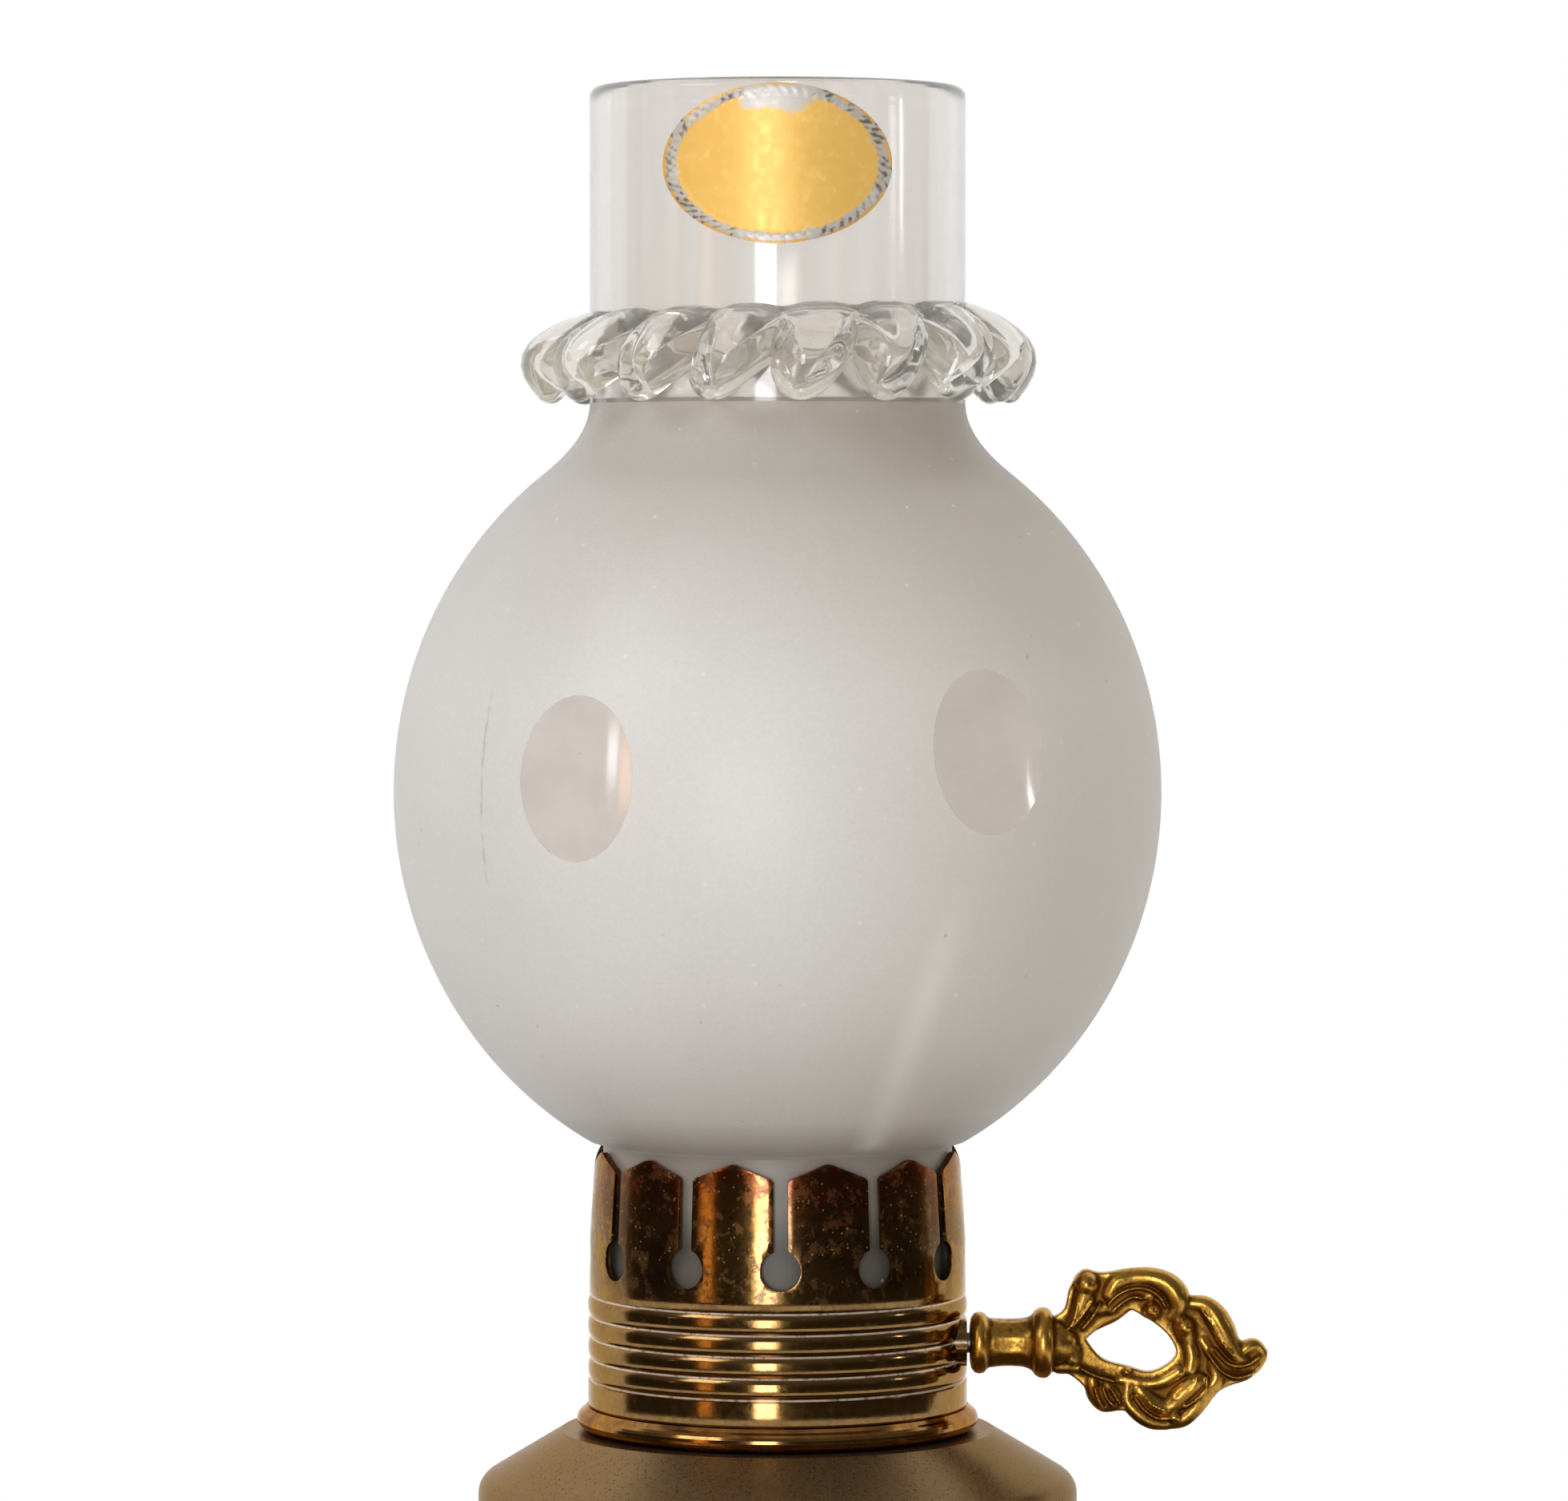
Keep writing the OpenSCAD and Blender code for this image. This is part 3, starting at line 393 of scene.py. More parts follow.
def brass_finish(brass):
    """Old gallery brass: rubbed bright in places, brown and red brown in others."""
    material, bench, where, shader = new_finish("tarnished_brass")
    x, y, z = bench.axes(where)
    low = GALLERY_LOW.z
    patches = bench.group("Tarnish", {"Vector": where, "Scale": 210.0, "Amount": 0.5,
                                      "Softness": 0.07})
    turn = bench.sums("ARCTAN2", x, bench.sums("MULTIPLY", y, -1.0))
    finger = bench.sums("FLOOR", bench.sums("DIVIDE", turn, math.tau / FINGER_COUNT))
    lot = bench.sums("FRACT", bench.sums("ADD", bench.sums("MULTIPLY", finger, 0.373),
                                         0.621))
    above = bench.span(z, low + 11.5 * MM, low + 15 * MM)
    own = bench.sums("MULTIPLY", bench.span(lot, 0.2, 0.8, -0.4, 0.5), above)
    patched = bench.sums("MULTIPLY", patches["Patches"],
                         bench.span(z, low + 10 * MM, low + 15 * MM, 0.2, 0.9))
    brown = bench.sums("ADD", patched, own, clamp=True)
    base = bench.mix(bench.sums("MULTIPLY", brown, 0.9), tuple(brass.bright),
                     tuple(brass.brown))
    base = bench.mix(bench.span(patches["Mottle"], 0.5, 1.0, 0.0, 0.35), base,
                     tone(112, 78, 42))
    flecks = bench.group("Specks", {"Vector": where, "Scale": 1500.0, "Share": 0.4,
                                    "Size": 0.32})["Mask"]
    flecks = bench.sums("MULTIPLY", flecks, bench.span(z, low + 11 * MM, low + 18 * MM,
                                                       0.08, 0.6))
    base = bench.mix(flecks, base, tone(70, 44, 24))
    stains = bench.span(bench.noise(where, 560.0, 5.0, 0.72, 0.3), 0.53, 0.6)
    stains = bench.sums("MULTIPLY", stains, bench.span(z, low + 8 * MM, low + 15 * MM,
                                                       0.1, 0.75))
    base = bench.mix(stains, base, tone(84, 54, 30))
    motes = bench.group("Specks", {"Vector": bench.placed(where, shift=(0.2, 0.1, 0.3)),
                                   "Scale": 2100.0, "Share": 0.3, "Size": 0.26})["Mask"]
    motes = bench.sums("MULTIPLY", motes, bench.span(z, low + 12 * MM, low + 17 * MM,
                                                     0.0, 0.55))
    base = bench.mix(motes, base, tone(168, 136, 92))
    tips = bench.span(z, low + 18.5 * MM, low + 25.0 * MM)
    tips = bench.sums("MULTIPLY", tips, bench.span(patches["Mottle"], 0.1, 0.7, 0.3, 1.0))
    base = bench.mix(bench.sums("MULTIPLY", tips, 0.85), base, tone(112, 44, 22))
    rib = bench.sums("DIVIDE", bench.sums("SUBTRACT", z, low + 2.7 * MM), 2.08 * MM)
    rib = bench.sums("PINGPONG", rib, 0.5)
    inside = bench.sums("MULTIPLY", bench.span(z, low + 2.3 * MM, low + 2.6 * MM),
                        bench.span(z, low + 11.1 * MM, low + 11.4 * MM, 1.0, 0.0))
    polish = bench.sums("MULTIPLY", bench.span(rib, 0.03, 0.07, 1.0, 0.0), inside)
    polish = bench.sums("MULTIPLY", polish, bench.span(patches["Mottle"], 0.1, 0.5, 0.4, 0.9))
    base = bench.mix(polish, base, tone(214, 198, 184))
    rough = bench.sums("ADD", bench.span(brown, 0.0, 1.0, 0.12, 0.25),
                       bench.span(patches["Mottle"], 0.0, 1.0, -0.03, 0.04))
    rough = bench.sums("ADD", rough, bench.sums("MULTIPLY", stains, 0.16))
    dents = bench.noise(where, 110.0, 1.0, 0.4)
    oxide = bench.sums("ADD", bench.sums("MULTIPLY", stains, 0.4),
                       bench.sums("MULTIPLY", motes, 0.9))
    oxide = bench.sums("MAXIMUM", oxide, bench.sums("MULTIPLY", polish, 0.7))
    lines = bench.group("Turning lines", {"Vector": where, "Scale": 2200.0})["Height"]
    normal = bench.bump(dents, 0.05 * MM, 0.5)
    normal = bench.bump(lines, 0.002 * MM, 0.4, normal)
    normal = bench.bump(patches["Mottle"], 0.008 * MM, 0.4, normal)
    set_shader(bench, shader, Base_Color=base, Roughness=rough,
               Metallic=bench.span(oxide, 0.0, 1.0, 1.0, 0.1), Coat_Weight=0.35,
               Coat_Roughness=0.05, Normal=normal,
               Specular_Tint=tone(226, 196, 150))
    return material


def dull_brass_finish(brass):
    """Brown brass of the parts inside the burner."""
    material, bench, where, shader = new_finish("dull_brass")
    patches = bench.group("Tarnish", {"Vector": where, "Scale": 180.0, "Amount": 0.5})
    base = bench.mix(patches["Patches"], tone(150, 116, 70), tuple(brass.brown))
    base = bench.mix(bench.span(patches["Mottle"], 0.4, 1.0, 0.0, 0.5), base,
                     tone(70, 50, 34))
    set_shader(bench, shader, Base_Color=base, Metallic=1.0,
               Roughness=bench.span(patches["Mottle"], 0.0, 1.0, 0.34, 0.5),
               Normal=bench.bump(patches["Mottle"], 0.04 * MM, 0.4))
    return material


def collar_finish(brass):
    """Brass of the font's collar, the foot ring and the rests, rubbed by handling."""
    material, bench, where, shader = new_finish("handled_brass")
    patches = bench.group("Tarnish", {"Vector": where, "Scale": 110.0, "Amount": 0.5,
                                      "Softness": 0.1})
    lines = bench.group("Turning lines", {"Vector": where, "Scale": 2600.0})["Height"]
    base = bench.mix(patches["Patches"], tone(176, 128, 66), tone(128, 90, 50))
    base = bench.mix(bench.span(patches["Mottle"], 0.5, 1.0, 0.0, 0.4), base,
                     tone(84, 58, 38))
    set_shader(bench, shader, Base_Color=base, Metallic=1.0,
               Roughness=bench.span(patches["Mottle"], 0.0, 1.0, 0.10, 0.17),
               Coat_Weight=0.3, Coat_Roughness=0.08,
               Specular_Tint=tone(214, 178, 128),
               Normal=bench.bump(lines, 0.008 * MM, 0.5))
    return material


def bronze_finish(brass):
    """Satin bronze lacquer with a fine dark speckle, and painted shade darkening its right
    side.
    """
    material, bench, where, shader = new_finish("satin_bronze")
    x, y, z = bench.axes(where)
    patches = bench.group("Tarnish", {"Vector": where, "Scale": 70.0, "Amount": 0.45,
                                      "Softness": 0.2})
    specks = bench.group("Specks", {"Vector": where, "Scale": 2600.0, "Share": 0.5,
                                    "Size": 0.35})["Mask"]
    grain = bench.group("Grain", {"Vector": where, "Scale": 3200.0})["Height"]
    base = bench.mix(bench.sums("MULTIPLY", patches["Patches"], 0.4), tuple(brass.bronze),
                     tone(106, 82, 54))
    # painted shade: the right side is made darker, broken up by the mottle
    right_side_shade = bench.sums("MULTIPLY", bench.span(x, 2 * MM, 26 * MM, 0.0, 0.7),
                         bench.span(patches["Mottle"], 0.0, 1.0, 0.8, 1.0))
    base = bench.mix(right_side_shade, base, tone(92, 72, 50))
    base = bench.mix(bench.sums("MULTIPLY", specks, 0.7), base, tone(60, 45, 30))
    base = bench.mix(bench.span(grain, 0.35, 0.7, 0.0, 0.35), base, tone(170, 142, 104))
    set_shader(bench, shader, Base_Color=base, Metallic=0.9,
               Specular_Tint=tone(226, 206, 182),
               Roughness=bench.span(grain, 0.3, 0.7, 0.24, 0.34),
               Normal=bench.bump(grain, 0.02 * MM, 0.45))
    return material


def gilt_finish(brass):
    """Gilding of the cast key: bright on the swellings, dark brown in the hollows, where dirt
    and painted shade are one mark.
    """
    material, bench, where, shader = new_finish("rubbed_gilt")
    hollow = bench.add("ShaderNodeAttribute", attribute_name="hollow").outputs["Fac"]
    patches = bench.group("Tarnish", {"Vector": where, "Scale": 320.0, "Amount": 0.4,
                                      "Softness": 0.15})
    # dirt and painted shade: the gilding is made darker brown where the surface is hollow
    worn = bench.sums("ADD", hollow, bench.span(patches["Mottle"], 0.3, 1.0, 0.0, 0.16))
    dirt_and_shade = bench.span(worn, 0.46, 0.68)
    base = bench.mix(bench.sums("MULTIPLY", patches["Patches"], 0.35), tuple(brass.gilt),
                     tone(176, 126, 52))
    base = bench.mix(bench.sums("MULTIPLY", dirt_and_shade, 0.92), base, tone(100, 64, 22))
    set_shader(bench, shader, Base_Color=base, Metallic=1.0,
               Roughness=bench.sums("ADD", bench.span(dirt_and_shade, 0.0, 1.0, 0.27, 0.46),
                                    bench.span(patches["Mottle"], 0.0, 1.0, 0.0, 0.06)),
               Normal=bench.bump(patches["Mottle"], 0.03 * MM, 0.35))
    return material


def steel_finish():
    """Plain washer and wheel steel, a little rusty."""
    material, bench, where, shader = new_finish("dull_steel")
    patches = bench.group("Tarnish", {"Vector": where, "Scale": 260.0, "Amount": 0.35})
    base = bench.mix(patches["Patches"], tone(150, 150, 148), tone(112, 82, 60))
    set_shader(bench, shader, Base_Color=base, Metallic=1.0,
               Roughness=bench.span(patches["Mottle"], 0.0, 1.0, 0.3, 0.5))
    return material


def foil_finish(foil):
    """Crinkled foil: a blank gold field, a grey rope border, worn through at the top, with
    painted highlights on the crinkles and painted shade in the rope's twists.
    """
    material, bench, where, shader = new_finish("crinkled_foil")
    middle = (LABEL_LOW + LABEL_HIGH) / 2
    half = (LABEL_HIGH - LABEL_LOW) / 2
    x, y, z = bench.axes(where)
    across = bench.sums("DIVIDE", bench.sums("SUBTRACT", x, middle.x), half.x)
    up = bench.sums("DIVIDE", bench.sums("SUBTRACT", z, middle.z), half.z)
    reach = bench.sums("SQRT", bench.sums("ADD", bench.sums("POWER", across, 2.0),
                                          bench.sums("POWER", up, 2.0)))
    crinkle = bench.noise(where, 900.0, 4.0, 0.6, 0.6)
    smudge = bench.noise(where, 260.0, 3.0, 0.6)
    turn = bench.sums("ARCTAN2", up, across)
    edge = bench.sums("ADD", reach, bench.span(crinkle, 0.3, 0.7, -0.025, 0.025))
    border = bench.span(edge, 0.865, 0.89)
    field = bench.mix(bench.span(smudge, 0.35, 0.75, 0.0, 0.6), tuple(foil.gold),
                      tone(240, 192, 96))
    # painted highlight: the field is made lighter on the crinkles' crests
    field = bench.mix(bench.span(crinkle, 0.55, 0.75, 0.0, 0.5), field, tone(252, 220, 140))
    # painted shade: the rope border is dark in its twists and creases and silver on their
    # crests
    twist = bench.sums("SINE", bench.sums("ADD", bench.sums("MULTIPLY", turn, 62.0),
                                          bench.sums("MULTIPLY", reach, 60.0)))
    rope_shade = bench.sums("ADD", bench.sums("MULTIPLY", twist, 0.07), crinkle)
    rim = bench.mix(bench.span(rope_shade, 0.36, 0.5), tone(122, 110, 94), tuple(foil.silver))
    rim = bench.mix(bench.span(smudge, 0.5, 0.7, 0.0, 0.6), rim, tone(224, 218, 210))
    base = bench.mix(border, field, rim)
    rub = bench.sums("ADD", up, bench.span(smudge, 0.3, 0.7, -0.10, 0.10))
    high = bench.sums("MULTIPLY", bench.span(rub, 0.66, 0.72),
                      bench.span(bench.sums("ABSOLUTE", across), 0.36, 0.28))
    low = bench.sums("MULTIPLY", bench.span(rub, -0.84, -0.90),
                     bench.span(bench.sums("ABSOLUTE", across), 0.34, 0.26))
    worn = bench.sums("ADD", high, low, clamp=True)
    base = bench.mix(worn, base, tone(206, 200, 194))
    gilding = bench.sums("MULTIPLY", bench.span(edge, 0.965, 0.98),
                         bench.span(smudge, 0.42, 0.52))
    base = bench.mix(gilding, base, tone(232, 180, 92))
    set_shader(bench, shader, Base_Color=base, Metallic=0.3,
               Roughness=bench.span(crinkle, 0.3, 0.7, 0.34, 0.5),
               Normal=bench.bump(crinkle, 0.03 * MM, 0.4))
    return material


def cotton_finish(soft):
    """Woven cotton, brown with oil low down and charred at the top."""
    material, bench, where, shader = new_finish("woven_cotton")
    x, y, z = bench.axes(where)
    fibre = bench.noise(bench.placed(where, (1.0, 1.0, 0.3)), 2400.0, 3.0, 0.7)
    stain = bench.noise(where, 220.0, 3.0, 0.6)
    base = bench.mix(bench.span(fibre, 0.35, 0.7, 0.0, 0.6), tuple(soft.cotton),
                     tone(176, 156, 122))
    oil = bench.span(z, WICK_HIGH.z - 5 * MM, WICK_HIGH.z - 20 * MM, 0.15, 0.6)
    base = bench.mix(oil, base, tone(150, 118, 70))
    wave = bench.sums("ADD", z, bench.span(stain, 0.3, 0.7, -0.8 * MM, 0.8 * MM))
    base = bench.mix(bench.span(wave, WICK_HIGH.z - 3.4 * MM, WICK_HIGH.z - 1.6 * MM), base,
                     tone(30, 24, 20))
    set_shader(bench, shader, Base_Color=base, Roughness=0.92,
               Normal=bench.bump(fibre, 0.08 * MM, 0.7))
    return material


def felt_finish(soft):
    """Green felt: matted fibres, with lighter lint on it."""
    material, bench, where, shader = new_finish("green_felt")
    fibre = bench.noise(where, 1700.0, 5.0, 0.75, 1.2)
    patch = bench.noise(where, 90.0, 3.0, 0.6)
    lint = bench.group("Specks", {"Vector": where, "Scale": 520.0, "Share": 0.12,
                                  "Size": 0.16})["Mask"]
    base = bench.mix(bench.span(fibre, 0.35, 0.65), tone(36, 52, 40), tuple(soft.felt))
    base = bench.mix(bench.span(patch, 0.4, 0.7, 0.0, 0.4), base, tone(70, 84, 62))
    base = bench.mix(bench.sums("MULTIPLY", lint, 0.5), base, tone(150, 150, 136))
    set_shader(bench, shader, Base_Color=base, Roughness=0.96, Sheen_Weight=0.3,
               Normal=bench.bump(fibre, 0.12 * MM, 0.8))
    return material


FINISHES = {}


def finish(name):
    """The finish of that name, made when it is first asked for."""
    if name not in FINISHES:
        scene = bpy.context.scene
        makers = {
            "satin_frost": (frosted_finish, scene.lamp_glass),
            "drawn_glass": (clear_finish, scene.lamp_glass),
            "ground_window": (window_finish, scene.lamp_glass),
            "crimped_glass": (crimped_finish, scene.lamp_glass),
            "tarnished_brass": (brass_finish, scene.lamp_brass),
            "dull_brass": (dull_brass_finish, scene.lamp_brass),
            "handled_brass": (collar_finish, scene.lamp_brass),
            "satin_bronze": (bronze_finish, scene.lamp_brass),
            "rubbed_gilt": (gilt_finish, scene.lamp_brass),
            "dull_steel": (steel_finish,),
            "crinkled_foil": (foil_finish, scene.lamp_foil),
            "woven_cotton": (cotton_finish, scene.lamp_soft),
            "green_felt": (felt_finish, scene.lamp_soft),
        }
        maker, *settings = makers[name]
        FINISHES[name] = maker(*settings)
    return FINISHES[name]


# Shapes

def turned(corners, steps, closed=True):
    """Spins a profile of (radius, height, rounding) corners, in mm, round the axis."""
    bm = bmesh.new()
    verts = [bm.verts.new((c[0] * MM, 0, c[1] * MM)) for c in corners]
    pairs = list(zip(verts, verts[1:] + verts[:1])) if closed else zip(verts, verts[1:])
    for first, second in pairs:
        bm.edges.new((first, second))
    for vert, corner in zip(verts, corners):
        if len(corner) > 2 and corner[2] > 0:
            bmesh.ops.bevel(bm, geom=[vert], offset=corner[2] * MM, offset_type="OFFSET",
                            segments=5, profile=0.5, affect="VERTICES", material=-1)
    bmesh.ops.spin(bm, geom=bm.verts[:] + bm.edges[:], cent=(0, 0, 0), axis=(0, 0, 1),
                   angle=math.tau, steps=steps, use_merge=True)
    bmesh.ops.remove_doubles(bm, verts=bm.verts, dist=1e-7)
    bmesh.ops.recalc_face_normals(bm, faces=bm.faces)
    return bm


def place(bm, name, body, finishes, replaced=(), sharp=30.0):
    """Makes the finished shape a piece of the lamp that rides on a body."""
    mesh = bpy.data.meshes.new(name)
    bm.to_mesh(mesh)
    bm.free()
    for face in mesh.polygons:
        face.use_smooth = True
    mesh.set_sharp_from_angle(angle=math.radians(sharp))
    piece = bpy.data.objects.new(name, mesh)
    bpy.context.scene.collection.objects.link(piece)
    for name_of_finish in finishes:
        mesh.materials.append(finish(name_of_finish))
    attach(piece, body)
    if replaced:
        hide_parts(*replaced)
    return piece


def dress(node, name):
    """Gives a CAD node a finish and leaves its mesh alone."""
    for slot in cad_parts[node].material_slots:
        slot.link = "OBJECT"
        slot.material = finish(name)


def oval(half_w, half_h, middle, low_r, high_r, count):
    """Points of an upright oval, from low_r below its middle to high_r above it, in mm."""
    start = -math.acos(low_r / half_w)
    end = math.acos(high_r / half_w)
    return [(half_w * math.cos(a), middle + half_h * math.sin(a)) for a in
            (start + (end - start) * i / count for i in range(count + 1))]


def curve(start, corner, end, count):
    """Points of a smooth bend from start to end, drawn towards the corner."""
    points = []
    for i in range(count + 1):
        t = i / count
        points.append(tuple((1 - t) ** 2 * a + 2 * t * (1 - t) * b + t * t * c
                            for a, b, c in zip(start, corner, end)))
    return points


GLOBE_R = GLASS_HIGH.x / MM
GLOBE_B = 39.4
FITTER_R = 17.2
STEP_R = 18.7
JOINT_Z = 58.3
GLOBE_Z = JOINT_Z + GLOBE_B * math.sqrt(1 - (STEP_R / 37.75) ** 2)
GLOBE_A = 37.75
FLARE_R = 22.95
NECK_R = 18.45
NECK_Z = FRILL_LOW.z / MM
LIP_Z = GLASS_HIGH.z / MM
FROST_END = NECK_Z + 0.4


def chimney_shape(glass):
    """Fitter, globe, flare and neck as one closed wall of glass."""
    wall = glass.wall / MM
    flare = GLOBE_Z + GLOBE_B * math.sqrt(1 - (FLARE_R / GLOBE_A) ** 2)
    outside = [(FITTER_R - 0.9, 43.2), (FITTER_R - 0.3, 43.35), (FITTER_R, 43.8),
               (FITTER_R, JOINT_Z - 0.5), (FITTER_R + 0.12, JOINT_Z - 0.12),
               (STEP_R - 0.25, JOINT_Z - 0.02)]
    outside += oval(GLOBE_A, GLOBE_B, GLOBE_Z, STEP_R, FLARE_R, 90)
    outside += curve((FLARE_R, flare), (NECK_R, 127.405), (NECK_R, NECK_Z), 12)[1:]
    outside += [(NECK_R, NECK_Z + i * (LIP_Z - 1 - NECK_Z) / 6) for i in range(1, 7)]
    lip = [(NECK_R - wall / 2 + wall / 2 * math.cos(a), LIP_Z - 1 + wall / 2 * math.sin(a))
           for a in (math.pi * i / 10 for i in range(1, 10))]
    high = NECK_R - wall
    low = FITTER_R - wall
    inside = [(high - 0.06, LIP_Z - 1.3), (high - 0.08, LIP_Z - 1.8),
              (high - 0.04, LIP_Z - 2.3), (high, LIP_Z - 2.8)]
    inside += [(high, LIP_Z - 1 - i * 7.0) for i in range(1, 5)] + [(high, FROST_END)]
    inside += list(reversed(oval(GLOBE_A - wall, GLOBE_B - wall, GLOBE_Z, low, high, 56)))
    inside += [(low, 52.0), (low, 43.8), (low + 0.3, 43.35)]
    return turned(outside + lip + inside, 216)


def window_place(index):
    """A window's middle on the globe, the way it faces, and the way across it."""
    gap = (math.tau + LEFT_WINDOW - RIGHT_WINDOW) / (WINDOW_COUNT - 1)
    turn = LEFT_WINDOW if index == 0 else RIGHT_WINDOW + (index - 1) * gap
    height = 95.2 if index % 2 == 0 else 97.7
    rise = height - GLOBE_Z
    reach = GLOBE_A * math.sqrt(1 - (rise / GLOBE_B) ** 2)
    lean = math.atan2(rise / GLOBE_B ** 2, reach / GLOBE_A ** 2)
    out = Vector((math.sin(turn), -math.cos(turn), 0))
    facing = out * math.cos(lean) + Vector((0, 0, math.sin(lean)))
    return (out * reach + Vector((0, 0, height))) * MM, facing, out.cross((0, 0, 1))


def cut_window(bm, index, glass):
    """Grinds one upright oval window into the globe and gives its faces their finish.

    The globe is bowed across the window, so that a flat cut leaves an oval, and is then
    bowed back, which leaves the window hollow across.
    """
    middle, facing, across = window_place(index)
    half_w, half_h = glass.window_width / 2, glass.window_height / 2
    depth = half_h ** 2 / (2 * GLOBE_B ** 2 / GLOBE_A * MM)
    bow = depth / half_w ** 2 - 1 / (2 * GLOBE_A * MM)
    flat = middle - facing * depth

    def bend(share):
        for vert in bm.verts:
            vert.co += facing * (share * bow * (vert.co - middle).dot(across) ** 2)

    def away(point):
        line = point - middle
        aside = line.dot(across)
        height = math.sqrt(max(0.0, line.length_squared - line.dot(facing) ** 2 - aside ** 2))
        return math.hypot(aside / half_w, height / half_h)

    bend(-1)
    near = [f for f in bm.faces if away(f.calc_center_median()) < 1.5
            and (f.calc_center_median() - flat).dot(facing) > -0.75 * MM]
    edges = {e for f in near for e in f.edges}
    verts = {v for f in near for v in f.verts}
    bmesh.ops.bisect_plane(bm, geom=near + list(edges) + list(verts), dist=1e-6,
                           plane_co=flat, plane_no=facing)
    inside = [f for f in bm.faces if away(f.calc_center_median()) < 1.2
              and all((v.co - flat).dot(facing) > -1e-6 for v in f.verts)]
    for vert in {v for f in inside for v in f.verts}:
        rise = (vert.co - flat).dot(facing)
        share = min(1.0, away(vert.co))
        hollow = glass.window_dish * (1 - share ** 2) if rise > 2e-6 else 0.0
        vert.co -= facing * (rise + hollow)
    bend(1)
    for face in inside:
        face.material_index = 2


class LAMP_OT_chimney(bpy.types.Operator):
    """Makes the frosted globe with its windows and clear neck"""
    bl_idname = "lamp.chimney"
    bl_label = "Glass chimney"

    def execute(self, context):
        glass = context.scene.lamp_glass
        bm = chimney_shape(glass)
        for index in range(WINDOW_COUNT):
            cut_window(bm, index, glass)
        for face in bm.faces:
            if face.calc_center_median().z > FROST_END * MM:
                face.material_index = 1
        place(bm, "globe_and_neck", "chimney",
              ["satin_frost", "drawn_glass", "ground_window"], ["glass_chimney"],
              sharp=9.0)
        return {"FINISHED"}


def frill_wave(turn, glass):
    """How full the frill's lobe is at a turn, and how low it hangs, 0 in a crease."""
    stray = 0.5 * math.sin(3 * turn + 0.7) + 0.3 * math.sin(7 * turn + 2.1)
    crease = (1 + math.cos(glass.fold_count * turn - 0.77 + 0.5 * stray)) / 2
    return 1 - crease ** 2, 1 - crease ** 1.1


def frill_point(share, turn, glass):
    """Middle of the frill's sheet: share runs from the neck out, turn round the axis."""
    half = glass.frill_sheet / 2
    inner, outer = (NECK_R - 0.06) * MM, FRILL_HIGH.x - half
    full, hang = frill_wave(turn, glass)
    swell = 0.985 + 0.015 * math.sin(5 * turn + 1.3)
    top = FRILL_HIGH.z - half - (0.55 - 0.5 * math.sin(turn)) * MM
    drop = top - FRILL_LOW.z - 1.4 * half
    lobe_r = inner + (outer - inner) * swell * math.sin(math.radians(135) * share)
    lobe_z = top - drop * share ** 1.2
    crease_r = inner + 1.5 * MM * math.sin(math.pi / 2 * min(1.0, 2 * share))
    crease_z = top - glass.fold_height * share ** 1.2
    radius = crease_r + (lobe_r - crease_r) * full
    height = crease_z + (lobe_z - crease_z) * hang
    around = turn - (0.20 * full + 0.12) * share * math.tau / glass.fold_count
    return Vector((radius * math.sin(around), -radius * math.cos(around), height))


class LAMP_OT_frill(bpy.types.Operator):
    """Makes the crimped frill of clear glass round the neck"""
    bl_idname = "lamp.frill"
    bl_label = "Glass frill"

    def execute(self, context):
        glass = context.scene.lamp_glass
        half = glass.frill_sheet / 2 / MM
        reach = (FRILL_HIGH.x / MM - half) - (NECK_R - 0.06)
        straight = [i / 10 for i in range(11)]
        edge = [math.pi * i / 8 for i in range(1, 8)]
        low = [(10 + reach * s, -half) for s in straight]
        round_edge = [(10 + reach + half * math.sin(a), -half * math.cos(a)) for a in edge]
        high = [(10 + reach * s, half) for s in reversed(straight)]
        bm = turned(low + round_edge + high, 36 * glass.fold_count)
        for vert in bm.verts:
            radius = math.hypot(vert.co.x, vert.co.y) / MM
            turn = math.atan2(vert.co.x, -vert.co.y)
            share = (radius - 10) / reach
            beyond = max(0.0, share - 1.0) * reach * MM
            share = max(0.0, min(share, 1.0))
            here = frill_point(share, turn, glass)
            out = (frill_point(max(share, 0.02), turn, glass)
                   - frill_point(max(share, 0.02) - 0.02, turn, glass))
            along = (frill_point(share, turn + 0.002, glass)
                     - frill_point(share, turn - 0.002, glass))
            up = out.cross(along).normalized()
            thick = (0.6 + 0.4 * frill_wave(turn, glass)[0]) * (1 + 0.4 * share ** 5)
            vert.co = here + (up * vert.co.z + out.normalized() * beyond) * thick
        bmesh.ops.recalc_face_normals(bm, faces=bm.faces)
        if bm.calc_volume(signed=True) < 0:
            bmesh.ops.reverse_faces(bm, faces=bm.faces)
        place(bm, "crimped_frill", "chimney", ["crimped_glass"],
              ["glass_frill"], sharp=60.0)
        return {"FINISHED"}


